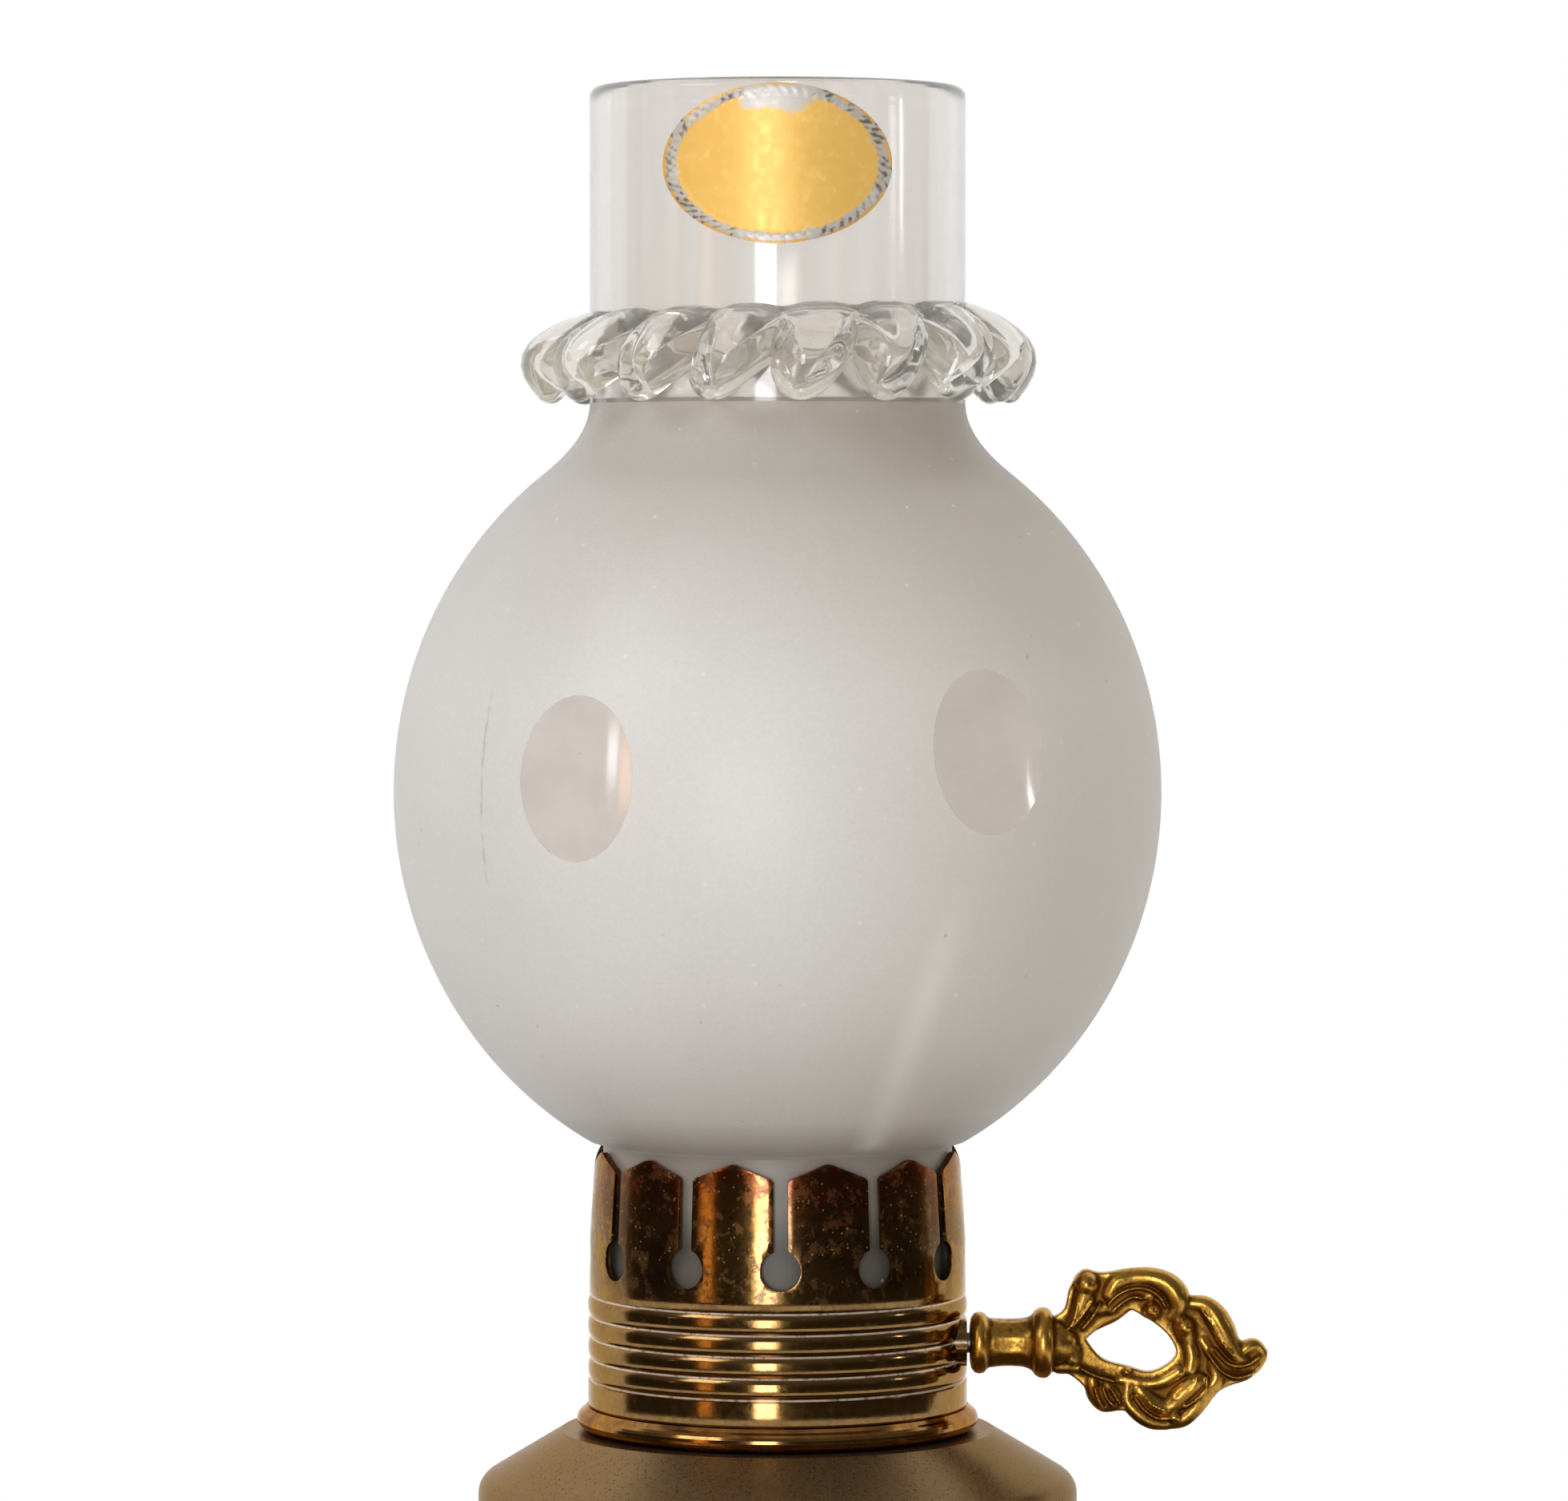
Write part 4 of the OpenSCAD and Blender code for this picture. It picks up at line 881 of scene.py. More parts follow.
class LAMP_OT_label(bpy.types.Operator):
    """Makes the blank foil oval with its rope border"""
    bl_idname = "lamp.label"
    bl_label = "Foil label"

    def execute(self, context):
        foil = context.scene.lamp_foil
        half_w, half_h = LABEL_HIGH.x, (LABEL_HIGH.z - LABEL_LOW.z) / 2
        middle = (LABEL_LOW.z + LABEL_HIGH.z) / 2
        sheet = -LABEL_LOW.y - NECK_R * MM
        rope = foil.rope / half_h
        rings = 34
        top = [(1000 * i / rings, 1) for i in range(rings + 1)]
        bm = turned([(0, 0)] + [(1000 * s, 0) for s in (0.3, 0.6, 1.0)] +
                    list(reversed(top)), 288, closed=False)
        for vert in bm.verts:
            reach = min(1.0, math.hypot(vert.co.x, vert.co.y))
            angle = math.atan2(vert.co.y, vert.co.x)
            width = half_w * 0.998
            across, up = width * vert.co.x, half_h * vert.co.y
            height = 0.0
            if vert.co.z > 0:
                inward = (1 - reach) / rope
                height = 0.45
                if 0 < inward < 1:
                    strand = math.sin(62 * angle + 7 * inward)
                    height = 0.35 + 0.65 * math.sin(math.pi * inward) * (0.7 + 0.3 * strand)
                elif inward <= 0:
                    height = 0.3
            radius = NECK_R * MM + sheet * max(0.02, height)
            turn = math.asin(max(-1, min(1, across / (NECK_R * MM))))
            vert.co = (radius * math.sin(turn), -radius * math.cos(turn), middle + up)
        bmesh.ops.recalc_face_normals(bm, faces=bm.faces)
        place(bm, "foil_oval", "chimney", ["crinkled_foil"], ["foil_label"],
              sharp=50.0)
        return {"FINISHED"}


BAND_R = GALLERY_HIGH.x / MM
SHELL_R = BAND_R - 0.7
RIB_Z = 34.7
RIB_PITCH = 2.08
RIB_COUNT = 4
HOLE_Z = 47.2
HOLE_R = 1.95
SLOT_HALF = 0.725
GABLE_Z = 55.9
TIP_Z = 57.5
TAPER_Z = 48.2
TIP_R = 18.05


def gallery_radius(height, groove):
    """Outside radius of the gallery at a height, in mm."""
    top = RIB_Z + RIB_COUNT * RIB_PITCH
    if height < RIB_Z - 0.2:
        soft = max(0.0, 0.25 - (height - 32.0))
        return BAND_R - soft ** 2 * 3
    if height < RIB_Z:
        return BAND_R - groove * (height - RIB_Z + 0.2) / 0.2
    if height <= top:
        share = ((height - RIB_Z) % RIB_PITCH) / RIB_PITCH
        return BAND_R - groove * abs(1 - 2 * share) ** 3
    if height < top + 0.2:
        return BAND_R - groove + (groove - 0.15) * (height - top) / 0.2
    if height < TAPER_Z:
        return BAND_R - 0.15
    return BAND_R - 0.15 - (BAND_R - 0.15 - TIP_R) * (height - TAPER_Z) / (TIP_Z - TAPER_Z)


def slot_outline():
    """One slot's share of the unrolled gallery sheet, round its keyhole, in mm."""
    half = math.pi * BAND_R / FINGER_COUNT
    gap = math.asin(SLOT_HALF / HOLE_R)
    arc = [(HOLE_R * math.sin(a), HOLE_Z + HOLE_R * math.cos(a)) for a in
           (gap + (math.tau - 2 * gap) * i / 28 for i in range(29))]
    right = [(half, 32.0), (half, TIP_Z - 0.12), (half - 0.35, TIP_Z - 0.17),
             (SLOT_HALF + 0.3, GABLE_Z + 0.1), (SLOT_HALF, GABLE_Z - 0.2)]
    left = [(-x, z) for x, z in reversed(right)]
    return right + arc + left


class LAMP_OT_gallery(bpy.types.Operator):
    """Makes the ribbed gallery with its keyholes and gabled fingers"""
    bl_idname = "lamp.gallery"
    bl_label = "Burner gallery"

    def execute(self, context):
        brass = context.scene.lamp_brass
        groove = brass.groove / MM
        bm = bmesh.new()
        pitch = math.tau * BAND_R / FINGER_COUNT
        bm.faces.new([bm.verts.new((x, 0, z)) for x, z in slot_outline()])
        heights = [32.12, 32.3, 33.2, RIB_Z - 0.2]
        for rib in range(RIB_COUNT):
            heights += [RIB_Z + RIB_PITCH * (rib + i / 10) for i in range(10)]
        heights += [43.02, 43.22, 44.2, 45.1, 46.1, 47.2, TAPER_Z, 50, 52, 54, 55.4, 56.6]
        columns = [pitch * (i / 14 - 0.5) for i in range(1, 14)]
        for point, normal in ([((0, 0, z), (0, 0, 1)) for z in heights]
                              + [((x, 0, 0), (1, 0, 0)) for x in columns]):
            bmesh.ops.bisect_plane(bm, geom=bm.verts[:] + bm.edges[:] + bm.faces[:],
                                   dist=1e-5, plane_co=point, plane_no=normal)
        first = bm.verts[:] + bm.edges[:] + bm.faces[:]
        for index in range(1, FINGER_COUNT):
            made = bmesh.ops.duplicate(bm, geom=first)["geom"]
            bmesh.ops.translate(bm, verts=[g for g in made
                                           if isinstance(g, bmesh.types.BMVert)],
                                vec=(pitch * index, 0, 0))
        bmesh.ops.remove_doubles(bm, verts=bm.verts, dist=1e-4)
        bmesh.ops.delete(bm, geom=[f for f in bm.faces if f.calc_area() < 1e-6],
                         context="FACES_ONLY")
        for vert in bm.verts:
            turn = vert.co.x / BAND_R
            vert.co = (BAND_R * math.sin(turn), -BAND_R * math.cos(turn), vert.co.z)
        bmesh.ops.remove_doubles(bm, verts=bm.verts, dist=1e-4)
        grown = bmesh.ops.extrude_face_region(bm, geom=bm.faces[:])
        for vert in grown["geom"]:
            if isinstance(vert, bmesh.types.BMVert):
                vert.co.x *= SHELL_R / BAND_R
                vert.co.y *= SHELL_R / BAND_R
        bmesh.ops.recalc_face_normals(bm, faces=bm.faces)
        sharp = [e for e in bm.edges if len(e.link_faces) == 2
                 and e.calc_face_angle(0.0) > math.radians(50)
                 and min(v.co.z for v in e.verts) > 32.05]
        bmesh.ops.bevel(bm, geom=sharp, offset=brass.finger_edge / MM,
                        offset_type="OFFSET", segments=2, profile=0.5, affect="EDGES",
                        material=-1, clamp_overlap=True)
        rng = random.Random(11)
        leans = [rng.uniform(0.0, 0.16) for _ in range(FINGER_COUNT)]
        for vert in bm.verts:
            reach = math.hypot(vert.co.x, vert.co.y)
            turn = math.atan2(vert.co.x, -vert.co.y)
            z = vert.co.z
            depth = max(0.0, min(1.0, (BAND_R - reach) / (BAND_R - SHELL_R)))
            outer = gallery_radius(z, groove)
            inner = SHELL_R if z < TAPER_Z else SHELL_R - (BAND_R - 0.15 - TIP_R) * \
                (z - TAPER_Z) / (TIP_Z - TAPER_Z)
            finger = math.floor(turn / math.tau * FINGER_COUNT) % FINGER_COUNT
            radius = outer + (inner - outer) * depth
            radius -= leans[finger] * max(0.0, (z - 47) / 10) ** 2
            turn += SLOT_TURN
            vert.co = (radius * math.sin(turn) * MM, -radius * math.cos(turn) * MM, z * MM)
        bmesh.ops.remove_doubles(bm, verts=bm.verts, dist=2e-6)
        bmesh.ops.recalc_face_normals(bm, faces=bm.faces)
        place(bm, "keyhole_gallery", "burner", ["tarnished_brass"],
              ["burner_gallery"], sharp=40.0)
        return {"FINISHED"}


KEY_AXIS = Vector((0, (SPINDLE_LOW.y + SPINDLE_HIGH.y) / 2,
                   (SPINDLE_LOW.z + SPINDLE_HIGH.z) / 2))
STEM_START = KEY_LOW.x / MM
STEM_L = 8.2
HEAD_EDGE = [(-0.8, 2.2), (1.0, 3.2), (1.6, 5.4), (2.9, 7.2), (4.6, 6.9), (6.6, 7.1),
             (9.8, 7.2), (12.4, 6.2), (13.6, 4.5), (15.4, 3.9), (17.2, 1.7), (18.6, 0.1),
             (20.0, 0.1), (21.0, -1.2), (19.4, -3.4), (16.8, -4.4), (14.4, -6.2),
             (12.4, -8.0), (9.6, -8.2), (7.2, -6.7), (4.7, -6.6), (3.2, -4.5),
             (1.6, -3.1), (-0.8, -2.2)]
HEAD_WINDOW = [(3.2, 0.4), (5.4, 2.3), (7.4, 3.3), (9.0, 2.5), (9.9, 2.0), (11.4, 0.6),
               (12.0, -1.3), (9.7, -2.8), (7.4, -2.3), (4.8, -1.5)]
# The key head's scrolls: points (along, across, radius) in mm
SCROLLS = [
    [(0.2, 0.6, 0.62), (1.6, 1.7, 0.88), (2.5, 3.2, 1.10), (3.0, 4.8, 1.21)],
    [(5.5, 4.9, 0.99), (6.2, 6.0, 1.06), (7.7, 6.4, 0.97), (9.5, 6.4, 1.02), (11.1, 5.8, 1.19),
     (12.1, 4.7, 1.28), (12.2, 3.6, 1.06), (11.5, 2.6, 0.71)],
    [(4.0, 3.3, 0.88), (5.3, 3.6, 0.88), (6.6, 4.6, 0.88), (8.0, 4.9, 0.80), (9.5, 4.7, 0.80)],
    [(0.9, 0.4, 0.44), (2.7, 0.9, 0.49), (4.4, 1.8, 0.49), (6.0, 2.6, 0.53), (7.3, 3.6, 0.53)],
    [(13.5, 3.9, 0.75), (14.8, 3.7, 0.93), (15.8, 2.7, 1.24), (16.6, 1.4, 1.28),
     (17.2, 0.0, 1.15), (18.0, -1.2, 0.93), (18.9, -1.7, 0.75)],
    [(12.3, 2.5, 0.84), (12.8, 1.5, 1.19), (13.3, 0.0, 0.97), (13.6, -1.3, 0.97),
     (13.4, -2.6, 0.97)],
    [(14.6, 0.3, 0.75), (15.7, -1.3, 0.84), (17.0, -2.6, 0.88), (18.3, -3.1, 0.75),
     (19.7, -2.4, 0.66), (20.6, -1.5, 0.44)],
    [(18.1, -1.3, 0.80), (19.1, -0.4, 0.75), (19.9, -0.2, 0.57), (20.7, -0.9, 0.40)],
    [(15.8, -2.0, 0.97), (15.9, -3.6, 0.97), (14.8, -5.0, 1.02), (13.9, -6.3, 0.97),
     (12.7, -7.5, 0.84), (11.1, -8.0, 0.57)],
    [(7.3, -4.2, 0.75), (7.3, -5.7, 0.75), (8.4, -7.0, 0.80), (9.7, -7.8, 0.75),
     (11.1, -8.0, 0.62)],
    [(8.4, -4.6, 0.97), (9.7, -5.9, 1.10), (11.3, -6.3, 1.10), (12.6, -5.0, 1.24),
     (14.2, -3.7, 1.10)],
    [(3.8, -3.7, 0.84), (4.2, -5.0, 0.97), (5.0, -6.0, 0.84), (6.2, -6.0, 0.71)],
    [(5.3, -4.2, 0.88), (6.2, -5.3, 0.84)],
    [(0.6, -2.3, 0.80), (2.2, -2.4, 0.75), (4.0, -2.9, 0.71), (5.8, -3.5, 0.66),
     (7.5, -3.7, 0.75), (9.3, -4.0, 0.80), (10.8, -3.7, 0.84), (12.3, -2.8, 0.93)],
    [(0.9, -0.6, 1.24), (1.8, -0.6, 1.02), (1.8, -1.5, 1.02)],
]
# Fine flutes chased on the scrolls: points (along, across) in mm
FLUTES = [
    [(5.3, 3.9), (6.2, 4.8), (7.5, 5.4), (9.1, 5.4), (10.4, 4.6), (10.9, 3.7)],
    [(5.6, 3.1), (6.6, 4.0), (7.7, 4.6), (8.7, 4.5)],
    [(1.8, 1.7), (3.0, 3.1), (3.8, 4.3)],
    [(2.8, 1.5), (3.8, 2.7), (4.5, 3.9)],
    [(1.0, 0.8), (2.0, 2.5), (2.3, 3.9)],
    [(14.6, 3.2), (15.6, 1.8), (16.4, 0.3), (17.5, -1.1)],
    [(15.8, -0.6), (17.2, -2.0), (18.8, -2.1), (20.1, -1.3)],
    [(15.0, -0.8), (16.4, -2.6), (17.9, -3.3), (19.5, -2.9)],
    [(15.0, -3.3), (14.9, -4.4), (13.9, -5.5), (12.8, -6.2)],
    [(14.0, -3.3), (13.8, -4.2), (12.9, -5.0), (11.7, -5.4)],
    [(8.0, -5.3), (8.9, -6.5), (10.2, -7.3), (11.5, -7.3)],
    [(8.9, -5.0), (9.7, -6.0), (11.1, -6.6)],
    [(4.0, -4.2), (4.3, -5.3), (4.9, -6.3)],
    [(4.8, -4.2), (5.2, -5.3), (5.9, -6.1)],
    [(5.6, -4.4), (6.1, -5.2), (6.5, -5.8)],
    [(2.7, -2.4), (4.0, -3.1), (6.0, -3.7)],
]
# Round knobs: (along, across, radius, depth) in mm
KNOBS = [(3.22, 5.82, 1.33, 2.00), (9.62, 3.24, 0.99, 1.95), (12.87, 1.65, 1.10, 1.95),
         (11.90, -7.26, 0.75, 1.50), (7.19, -2.79, 0.53, 1.40), (0.2, 0.0, 2.3, 2.3)]


def along_curve(points, step):
    """Points at even steps on a smooth curve through the given ones."""
    made = []
    last = len(points) - 1
    for i in range(last):
        p0, p1 = points[max(0, i - 1)], points[i]
        p2, p3 = points[i + 1], points[min(last, i + 2)]
        count = max(1, round(math.dist(p1[:2], p2[:2]) / step))
        for k in range(count):
            t = k / count
            made.append(tuple(
                0.5 * (2 * b + (c - a) * t + (2 * a - 5 * b + 4 * c - d) * t * t
                       + (3 * b - a - 3 * c + d) * t ** 3)
                for a, b, c, d in zip(p0, p1, p2, p3)))
    made.append(tuple(points[-1]))
    return made


def key_stem():
    """Turned stem: a bead, a fluted waist and a larger bead, along the key's axis."""
    profile = [(0.0, 0.0), (1.7, 0.0), (2.45, 0.12), (2.95, 0.5), (3.05, 0.95), (2.95, 1.4),
               (2.5, 1.8), (2.38, 1.95), (2.42, 2.2), (2.38, 2.8), (2.36, 4.0), (2.42, 5.2),
               (2.6, 5.9), (2.75, 6.1), (3.15, 6.35), (3.42, 6.8), (3.5, 7.2), (3.42, 7.6),
               (3.1, 8.0), (2.4, 8.2), (0.0, 8.2)]
    bm = turned(profile, 64, closed=False)
    for vert in bm.verts:
        along = vert.co.z / MM
        turn = math.atan2(vert.co.y, vert.co.x)
        flute = 1.0
        if 2.2 < along < 5.9:
            flute = 1 - 0.06 * (0.5 - 0.5 * math.cos(9 * turn)) * math.sin(
                math.pi * (along - 2.2) / 3.7)
        vert.co = (vert.co.z, vert.co.x * flute, vert.co.y * flute)
    bmesh.ops.translate(bm, verts=bm.verts, vec=(STEM_START * MM, 0, 0))
    return bm


def add_balls(bm, head, balls, segments, rings):
    """Adds balls (along, across, radius, depth radius), in mm, in the key head's frame."""
    part = bmesh.new()
    for x, z, radius, deep in balls:
        bmesh.ops.create_uvsphere(
            part, u_segments=segments, v_segments=rings, radius=radius * MM,
            matrix=head @ Matrix.Translation((x * MM, 0, z * MM))
            @ Matrix.Diagonal((1, deep / radius, 1, 1)))
    mesh = bpy.data.meshes.new("balls")
    part.to_mesh(mesh)
    part.free()
    bm.from_mesh(mesh)
    bpy.data.meshes.remove(mesh)


class LAMP_OT_key(bpy.types.Operator):
    """Makes the cast wick key: turned stem and pierced scroll head"""
    bl_idname = "lamp.key"
    bl_label = "Wick key"

    def execute(self, context):
        bm = key_stem()
        head = Matrix.Translation(((STEM_START + STEM_L) * MM, 0, 0))
        rings = []
        for line in (HEAD_EDGE, HEAD_WINDOW):
            points = along_curve(line + line[:1], 0.5)[:-1]
            verts = [bm.verts.new(((x + STEM_START + STEM_L) * MM, -0.7 * MM, z * MM))
                     for x, z in points]
            rings += [bm.edges.new(pair) for pair in zip(verts, verts[1:] + verts[:1])]
        filled = bmesh.ops.triangle_fill(bm, use_beauty=True, use_dissolve=False,
                                         edges=rings)
        plate = [g for g in filled["geom"] if isinstance(g, bmesh.types.BMFace)]
        grown = bmesh.ops.extrude_face_region(bm, geom=plate)
        moved = [g for g in grown["geom"] if isinstance(g, bmesh.types.BMVert)]
        bmesh.ops.translate(bm, verts=moved, vec=(0, 1.4 * MM, 0))
        for scroll in SCROLLS:
            add_balls(bm, head, [(x, z, r, 1.3 * r) for x, z, r in
                                 along_curve(scroll, 0.25)], 14, 10)
        for flute in FLUTES:
            add_balls(bm, head, [(x, z, 0.24, 1.62) for x, z in along_curve(flute, 0.12)],
                      8, 10)
        add_balls(bm, head, KNOBS, 24, 16)
        bmesh.ops.recalc_face_normals(bm, faces=bm.faces)
        bmesh.ops.translate(bm, verts=bm.verts, vec=KEY_AXIS)
        rough = bpy.data.meshes.new("key_rough")
        bm.to_mesh(rough)
        bm.free()
        holder = bpy.data.objects.new("key_rough", rough)
        context.scene.collection.objects.link(holder)
        remesh = holder.modifiers.new("one casting", "REMESH")
        remesh.mode = "VOXEL"
        remesh.voxel_size = 0.13 * MM
        cast = bpy.data.meshes.new_from_object(
            holder.evaluated_get(context.evaluated_depsgraph_get()))
        bpy.data.objects.remove(holder)
        bpy.data.meshes.remove(rough)
        bm = bmesh.new()
        bm.from_mesh(cast)
        bpy.data.meshes.remove(cast)
        for _ in range(2):
            bmesh.ops.smooth_vert(bm, verts=bm.verts, factor=0.5, use_axis_x=True,
                                  use_axis_y=True, use_axis_z=True)
        bm.normal_update()
        mark_hollows(bm)
        place(bm, "scroll_key", "key", ["rubbed_gilt"], ["wick_key"],
              sharp=70.0)
        return {"FINISHED"}


def mark_hollows(bm):
    """Writes how hollow the surface is at each vertex, 0.5 where it is flat."""
    layer = bm.verts.layers.float.new("hollow")
    depth = {}
    for vert in bm.verts:
        near = [e.other_vert(vert) for e in vert.link_edges]
        middle = sum((v.co for v in near), Vector()) / len(near)
        size = sum((v.co - vert.co).length for v in near) / len(near)
        depth[vert] = (middle - vert.co).dot(vert.normal) / size
    for _ in range(10):
        depth = {v: 0.4 * d + 0.6 * sum(depth[e.other_vert(v)] for e in v.link_edges)
                 / len(v.link_edges) for v, d in depth.items()}
    for vert, value in depth.items():
        vert[layer] = max(0.0, min(1.0, 0.5 + 4.0 * value))


class LAMP_OT_wick(bpy.types.Operator):
    """Makes the woven cotton wick with its charred end"""
    bl_idname = "lamp.wick"
    bl_label = "Wick"

    def execute(self, context):
        soft = context.scene.lamp_soft
        half_w, half_t = WICK_HIGH.x, WICK_HIGH.y
        length_of = WICK_HIGH.z - WICK_LOW.z
        bm = bmesh.new()
        bmesh.ops.create_circle(bm, cap_ends=False, segments=160, radius=1.0)
        for vert in bm.verts:
            angle = math.atan2(vert.co.y, vert.co.x)
            reach = abs(math.cos(angle)) ** 8 + abs(math.sin(angle)) ** 8
            x, y = (f(angle) / reach ** 0.125 for f in (math.cos, math.sin))
            end = max(0.0, abs(x) - 0.82) / 0.18
            vert.co = (x * (half_w - 0.12 * MM),
                       y * (half_t - 0.14 * MM) * math.sqrt(max(0.0, 1 - end * end * 0.8)),
                       WICK_LOW.z)
        rows = 110
        ring = bm.edges[:]
        for row in range(rows):
            made = bmesh.ops.extrude_edge_only(bm, edges=ring)
            ring = [g for g in made["geom"] if isinstance(g, bmesh.types.BMEdge)]
            verts = [g for g in made["geom"] if isinstance(g, bmesh.types.BMVert)]
            bmesh.ops.translate(bm, verts=verts, vec=(0, 0, length_of / rows))
        bmesh.ops.holes_fill(bm, edges=[e for e in bm.edges if e.is_boundary], sides=0)
        caps = [f for f in bm.faces if len(f.verts) > 4]
        bmesh.ops.poke(bm, faces=caps)
        bm.normal_update()
        rng = random.Random(4)
        for vert in bm.verts:
            across = vert.co.x / half_w
            high = (vert.co.z - WICK_LOW.z) / length_of
            cord = abs(math.sin(math.pi * soft.cord_count * (across + 1) / 2))
            pick = math.sin(math.tau * high * rows / 4 + (0 if cord > 0.5 else math.pi))
            if abs(vert.normal.z) < 0.5:
                vert.co += vert.normal * (0.05 * cord + 0.035 * pick) * MM
            if high > 0.995:
                vert.co.z -= rng.uniform(0.0, 0.35) * MM
        bmesh.ops.recalc_face_normals(bm, faces=bm.faces)
        place(bm, "woven_wick", "wick_body", ["woven_cotton"], ["wick"],
              sharp=60.0)
        return {"FINISHED"}


class LAMP_OT_pad(bpy.types.Operator):
    """Makes the felt pad under the dish"""
    bl_idname = "lamp.pad"
    bl_label = "Felt pad"

    def execute(self, context):
        soft = context.scene.lamp_soft
        edge = soft.pad_edge / MM
        radius, top = PAD_HIGH.x / MM, PAD_HIGH.z / MM
        rings = [radius * i / 22 for i in range(1, 22)]
        profile = [(0, 0)] + [(r, 0) for r in rings] + [(radius, 0, edge),
                                                       (radius, top, edge)]
        profile += [(r, top) for r in reversed(rings)] + [(0, top)]
        bm = turned(profile, 144, closed=False)
        rng = random.Random(9)
        for vert in bm.verts:
            reach = math.hypot(vert.co.x, vert.co.y)
            if reach > PAD_HIGH.x - 2 * MM:
                share = 1 - rng.uniform(0.0, 0.0022)
                vert.co.x *= share
                vert.co.y *= share
        place(bm, "felt_pad", "base", ["green_felt"], ["base_pad"], sharp=60.0)
        return {"FINISHED"}


DRESSED = {
    "satin_bronze": ["ashtray_dish", "font_lower_shell", "font_upper_shell"],
    "handled_brass": ["cigarette_rests", "foot_ring", "font_collar", "stud_nut",
                      "font_stud"],
    "tarnished_brass": ["flame_dome", "spindle_bush"],
    "dull_brass": ["burner_base_plate", "burner_screw_neck", "air_plate", "wick_tube",
                   "spindle_bracket"],
    "dull_steel": ["stud_washer", "key_spindle", "feed_wheels"],
}


class LAMP_OT_metal(bpy.types.Operator):
    """Gives the metal parts that keep their CAD shape their finishes"""
    bl_idname = "lamp.metal"
    bl_label = "Plain metal parts"

    def execute(self, context):
        for name, nodes in DRESSED.items():
            for node in nodes:
                dress(node, name)
        return {"FINISHED"}


def soft_lamp(name, place_at, aim, width, height, glow, tint=(1, 1, 1)):
    """A softbox that faces aim; glow is the brightness of its face."""
    data = bpy.data.lights.new(name, "AREA")
    data.shape = "RECTANGLE"
    data.size, data.size_y = width, height
    data.energy = glow * math.pi * width * height
    data.color = tint
    lamp = bpy.data.objects.new(name, data)
    bpy.context.scene.collection.objects.link(lamp)
    lamp.location = place_at
    line = Vector(aim) - Vector(place_at)
    lamp.rotation_euler = line.to_track_quat("-Z", "Y").to_euler()
    lamp.visible_camera = False
    return lamp


def make_world(stage):
    """White behind the lamp for camera, metal and glass, and plain light all round."""
    world = bpy.data.worlds.new("pale_room")
    bpy.context.scene.world = world
    world.use_nodes = True
    bench = Bench(world.node_tree)
    bench.tree.nodes.clear()
    output = bench.add("ShaderNodeOutputWorld")
    path = bench.add("ShaderNodeLightPath").outputs
    x, y, z = bench.axes(bench.add("ShaderNodeTexCoord").outputs["Generated"])
    behind = bench.span(y, 0.24, 0.30)
    high = bench.span(z, 0.08, 0.9)
    high = bench.sums("MULTIPLY", high, bench.span(x, -0.3, 0.5, 1.0, 0.5))
    front = bench.mix(high, (0.045, 0.037, 0.030, 1.0), (0.29, 0.28, 0.27, 1.0))
    seen = bench.mix(behind, front, (1.0, 1.0, 1.0, 1.0))
    through = bench.mix(behind, (0.72, 0.70, 0.68, 1.0), (1.0, 1.0, 1.0, 1.0))
    plain = (stage.room_light, stage.room_light, stage.room_light, 1.0)
    light = bench.mix(path["Is Glossy Ray"], plain, seen)
    light = bench.mix(path["Is Transmission Ray"], light, through)
    light = bench.mix(path["Is Camera Ray"], light, (1.0, 1.0, 1.0, 1.0))
    background = bench.add("ShaderNodeBackground", {"Color": light, "Strength": 1.0})
    bench.feed(output.inputs["Surface"], background.outputs[0])


def make_floor(stage):
    """Round pale floor that fades to white away from the lamp's shadow."""
    bm = bmesh.new()
    bmesh.ops.create_circle(bm, cap_ends=True, cap_tris=True, segments=96, radius=0.15)
    mesh = bpy.data.meshes.new("pale_floor")
    bm.to_mesh(mesh)
    bm.free()
    floor = bpy.data.objects.new("pale_floor", mesh)
    bpy.context.scene.collection.objects.link(floor)
    material = bpy.data.materials.new("pale_floor")
    material.use_nodes = True
    bench = Bench(material.node_tree)
    bench.tree.nodes.clear()
    output = bench.add("ShaderNodeOutputMaterial")
    path = bench.add("ShaderNodeLightPath").outputs
    x, y, z = bench.axes(bench.add("ShaderNodeTexCoord").outputs["Object"])
    reach = bench.sums("SQRT", bench.sums("ADD", bench.sums("POWER", x, 2.0),
                                          bench.sums("POWER", y, 2.0)))
    away = bench.span(reach, 0.062, 0.145)
    paper = bench.add("ShaderNodeBsdfDiffuse", {"Color": tuple(stage.floor)}).outputs[0]
    white = bench.add("ShaderNodeEmission", {"Color": (1, 1, 1, 1),
                                             "Strength": 1.0}).outputs[0]
    lift = bench.add("ShaderNodeEmission", {"Color": (1, 1, 1, 1),
                                            "Strength": 0.22}).outputs[0]
    near = bench.add("ShaderNodeAddShader", {0: paper, 1: lift}).outputs[0]
    shown = bench.add("ShaderNodeMixShader", {0: away, 1: near, 2: white}).outputs[0]
    rays = bench.sums("ADD", path["Is Camera Ray"], path["Is Transmission Ray"])
    rays = bench.sums("ADD", rays, path["Is Glossy Ray"], clamp=True)
    both = bench.add("ShaderNodeMixShader", {0: rays, 1: paper, 2: shown}).outputs[0]
    bench.feed(output.inputs["Surface"], both)
    mesh.materials.append(material)


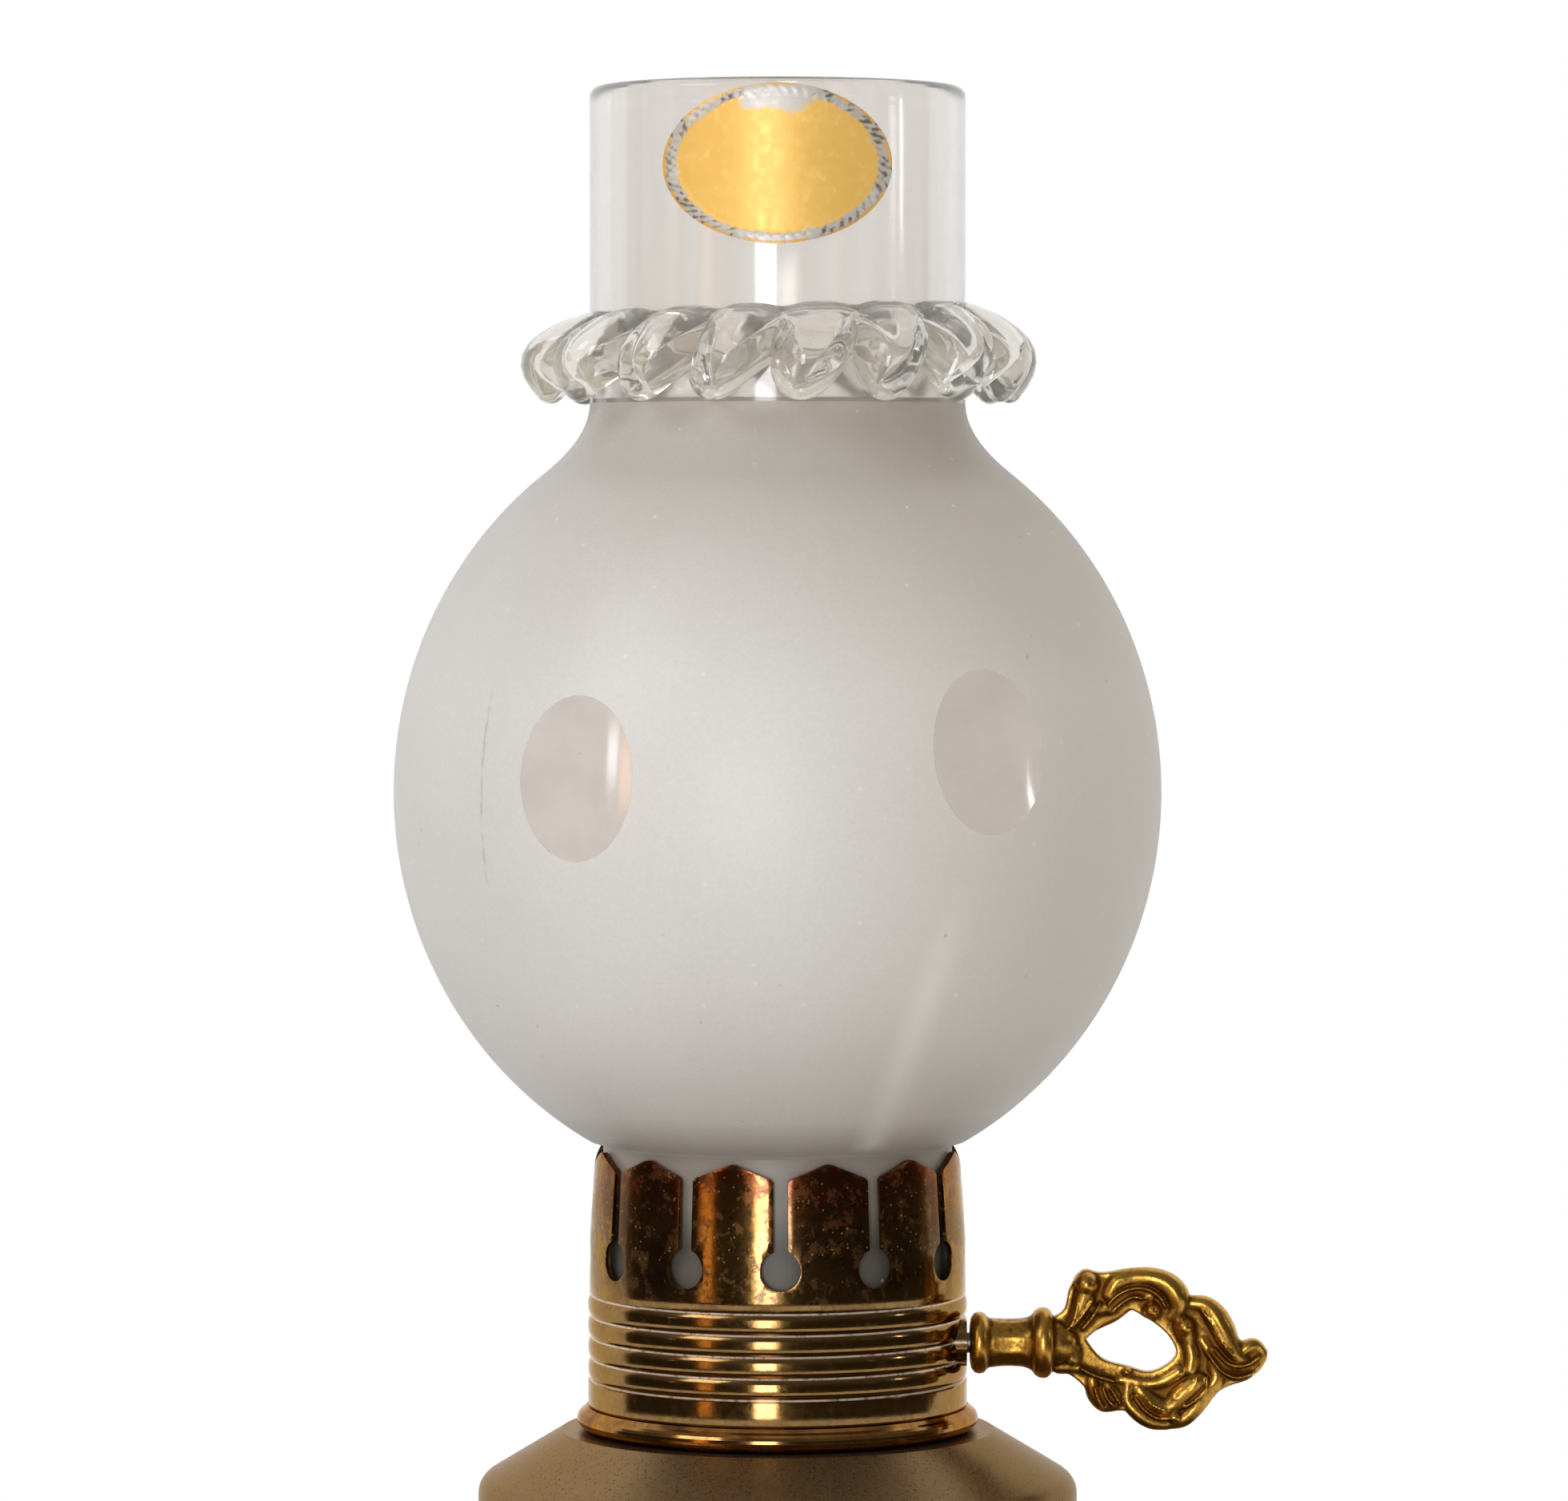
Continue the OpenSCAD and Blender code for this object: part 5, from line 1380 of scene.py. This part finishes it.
def make_camera(stage):
    """The photograph's view: its width sets the lens, because it is the long side."""
    data = bpy.data.cameras.new("photo_view")
    data.sensor_fit = "AUTO"
    data.sensor_width = 36.0
    long_side = max(PHOTO_W, PHOTO_H) / PHOTO_W
    data.lens = data.sensor_width / 2 / math.tan(stage.wide / 2) / long_side
    data.clip_start, data.clip_end = 0.05, 10.0
    camera = bpy.data.objects.new("photo_view", data)
    bpy.context.scene.collection.objects.link(camera)
    camera.location = (stage.aside, -stage.distance, stage.height)
    camera.rotation_euler = (math.pi / 2 - stage.tilt, 0, 0)
    bpy.context.scene.camera = camera


class LAMP_OT_stage(bpy.types.Operator):
    """Sets up the camera, the floor, the world and the soft lamps"""
    bl_idname = "lamp.stage"
    bl_label = "Stage"

    def execute(self, context):
        stage = context.scene.lamp_stage
        make_camera(stage)
        make_world(stage)
        make_floor(stage)
        soft_lamp("front_box", (-0.095, -0.76, 0.09), (0, 0, 0.09), 0.17, 0.40, 9.2)
        soft_lamp("high_left_box", (-0.55, -0.45, 0.55), (0, 0, 0.06), 0.35, 0.35, 3.8)
        soft_lamp("left_strip", (-0.45, -0.47, 0.08), (0, 0, 0.07), 0.09, 0.32, 1.5,
                  (1.0, 0.5, 0.14))
        soft_lamp("left_window", (-0.462, -0.2105, 0.129), (0, 0, 0.096), 0.013, 0.006, 11.0)
        soft_lamp("left_candle", (-0.4685, -0.1955, 0.1267), (0, 0, 0.096), 0.014, 0.009, 7.0,
                  (1.0, 0.5, 0.22))
        soft_lamp("right_candle", (0.4365, -0.260, 0.1758), (0, 0, 0.097), 0.003, 0.004, 60.0)
        soft_lamp("right_window", (0.492, -0.087, 0.20), (0, 0, 0.15), 0.02, 0.07, 12.0)
        context.scene.view_settings.view_transform = "Standard"
        return {"FINISHED"}


STEPS = ("stage", "chimney", "frill", "label", "gallery", "key", "wick", "pad", "metal")
SETTINGS = {"lamp_glass": GlassSettings, "lamp_brass": BrassSettings,
            "lamp_soft": SoftSettings, "lamp_foil": FoilSettings,
            "lamp_stage": StageSettings}


class LAMP_PT_panel(bpy.types.Panel):
    """Lists the lamp's settings and its steps"""
    bl_idname = "LAMP_PT_panel"
    bl_label = "Ashtray Lamp"
    bl_space_type = "VIEW_3D"
    bl_region_type = "UI"
    bl_category = "Ashtray Lamp"

    def draw(self, context):
        for name, group in SETTINGS.items():
            box = self.layout.box()
            box.label(text=name.replace("lamp_", "").capitalize())
            for setting in group.__annotations__:
                box.prop(getattr(context.scene, name), setting)
        for step in STEPS:
            self.layout.operator("lamp." + step)


OPERATORS = (LAMP_OT_stage, LAMP_OT_chimney, LAMP_OT_frill, LAMP_OT_label,
             LAMP_OT_gallery, LAMP_OT_key, LAMP_OT_wick, LAMP_OT_pad, LAMP_OT_metal)


def register():
    for item in tuple(SETTINGS.values()) + OPERATORS + (LAMP_PT_panel,):
        bpy.utils.register_class(item)
    for name, group in SETTINGS.items():
        setattr(bpy.types.Scene, name, PointerProperty(type=group))


def unregister():
    for name in SETTINGS:
        delattr(bpy.types.Scene, name)
    for item in reversed(tuple(SETTINGS.values()) + OPERATORS + (LAMP_PT_panel,)):
        bpy.utils.unregister_class(item)


def main():
    register()
    make_groups()
    for step in STEPS:
        getattr(bpy.ops.lamp, step)()


if __name__ == "__main__":
    main()
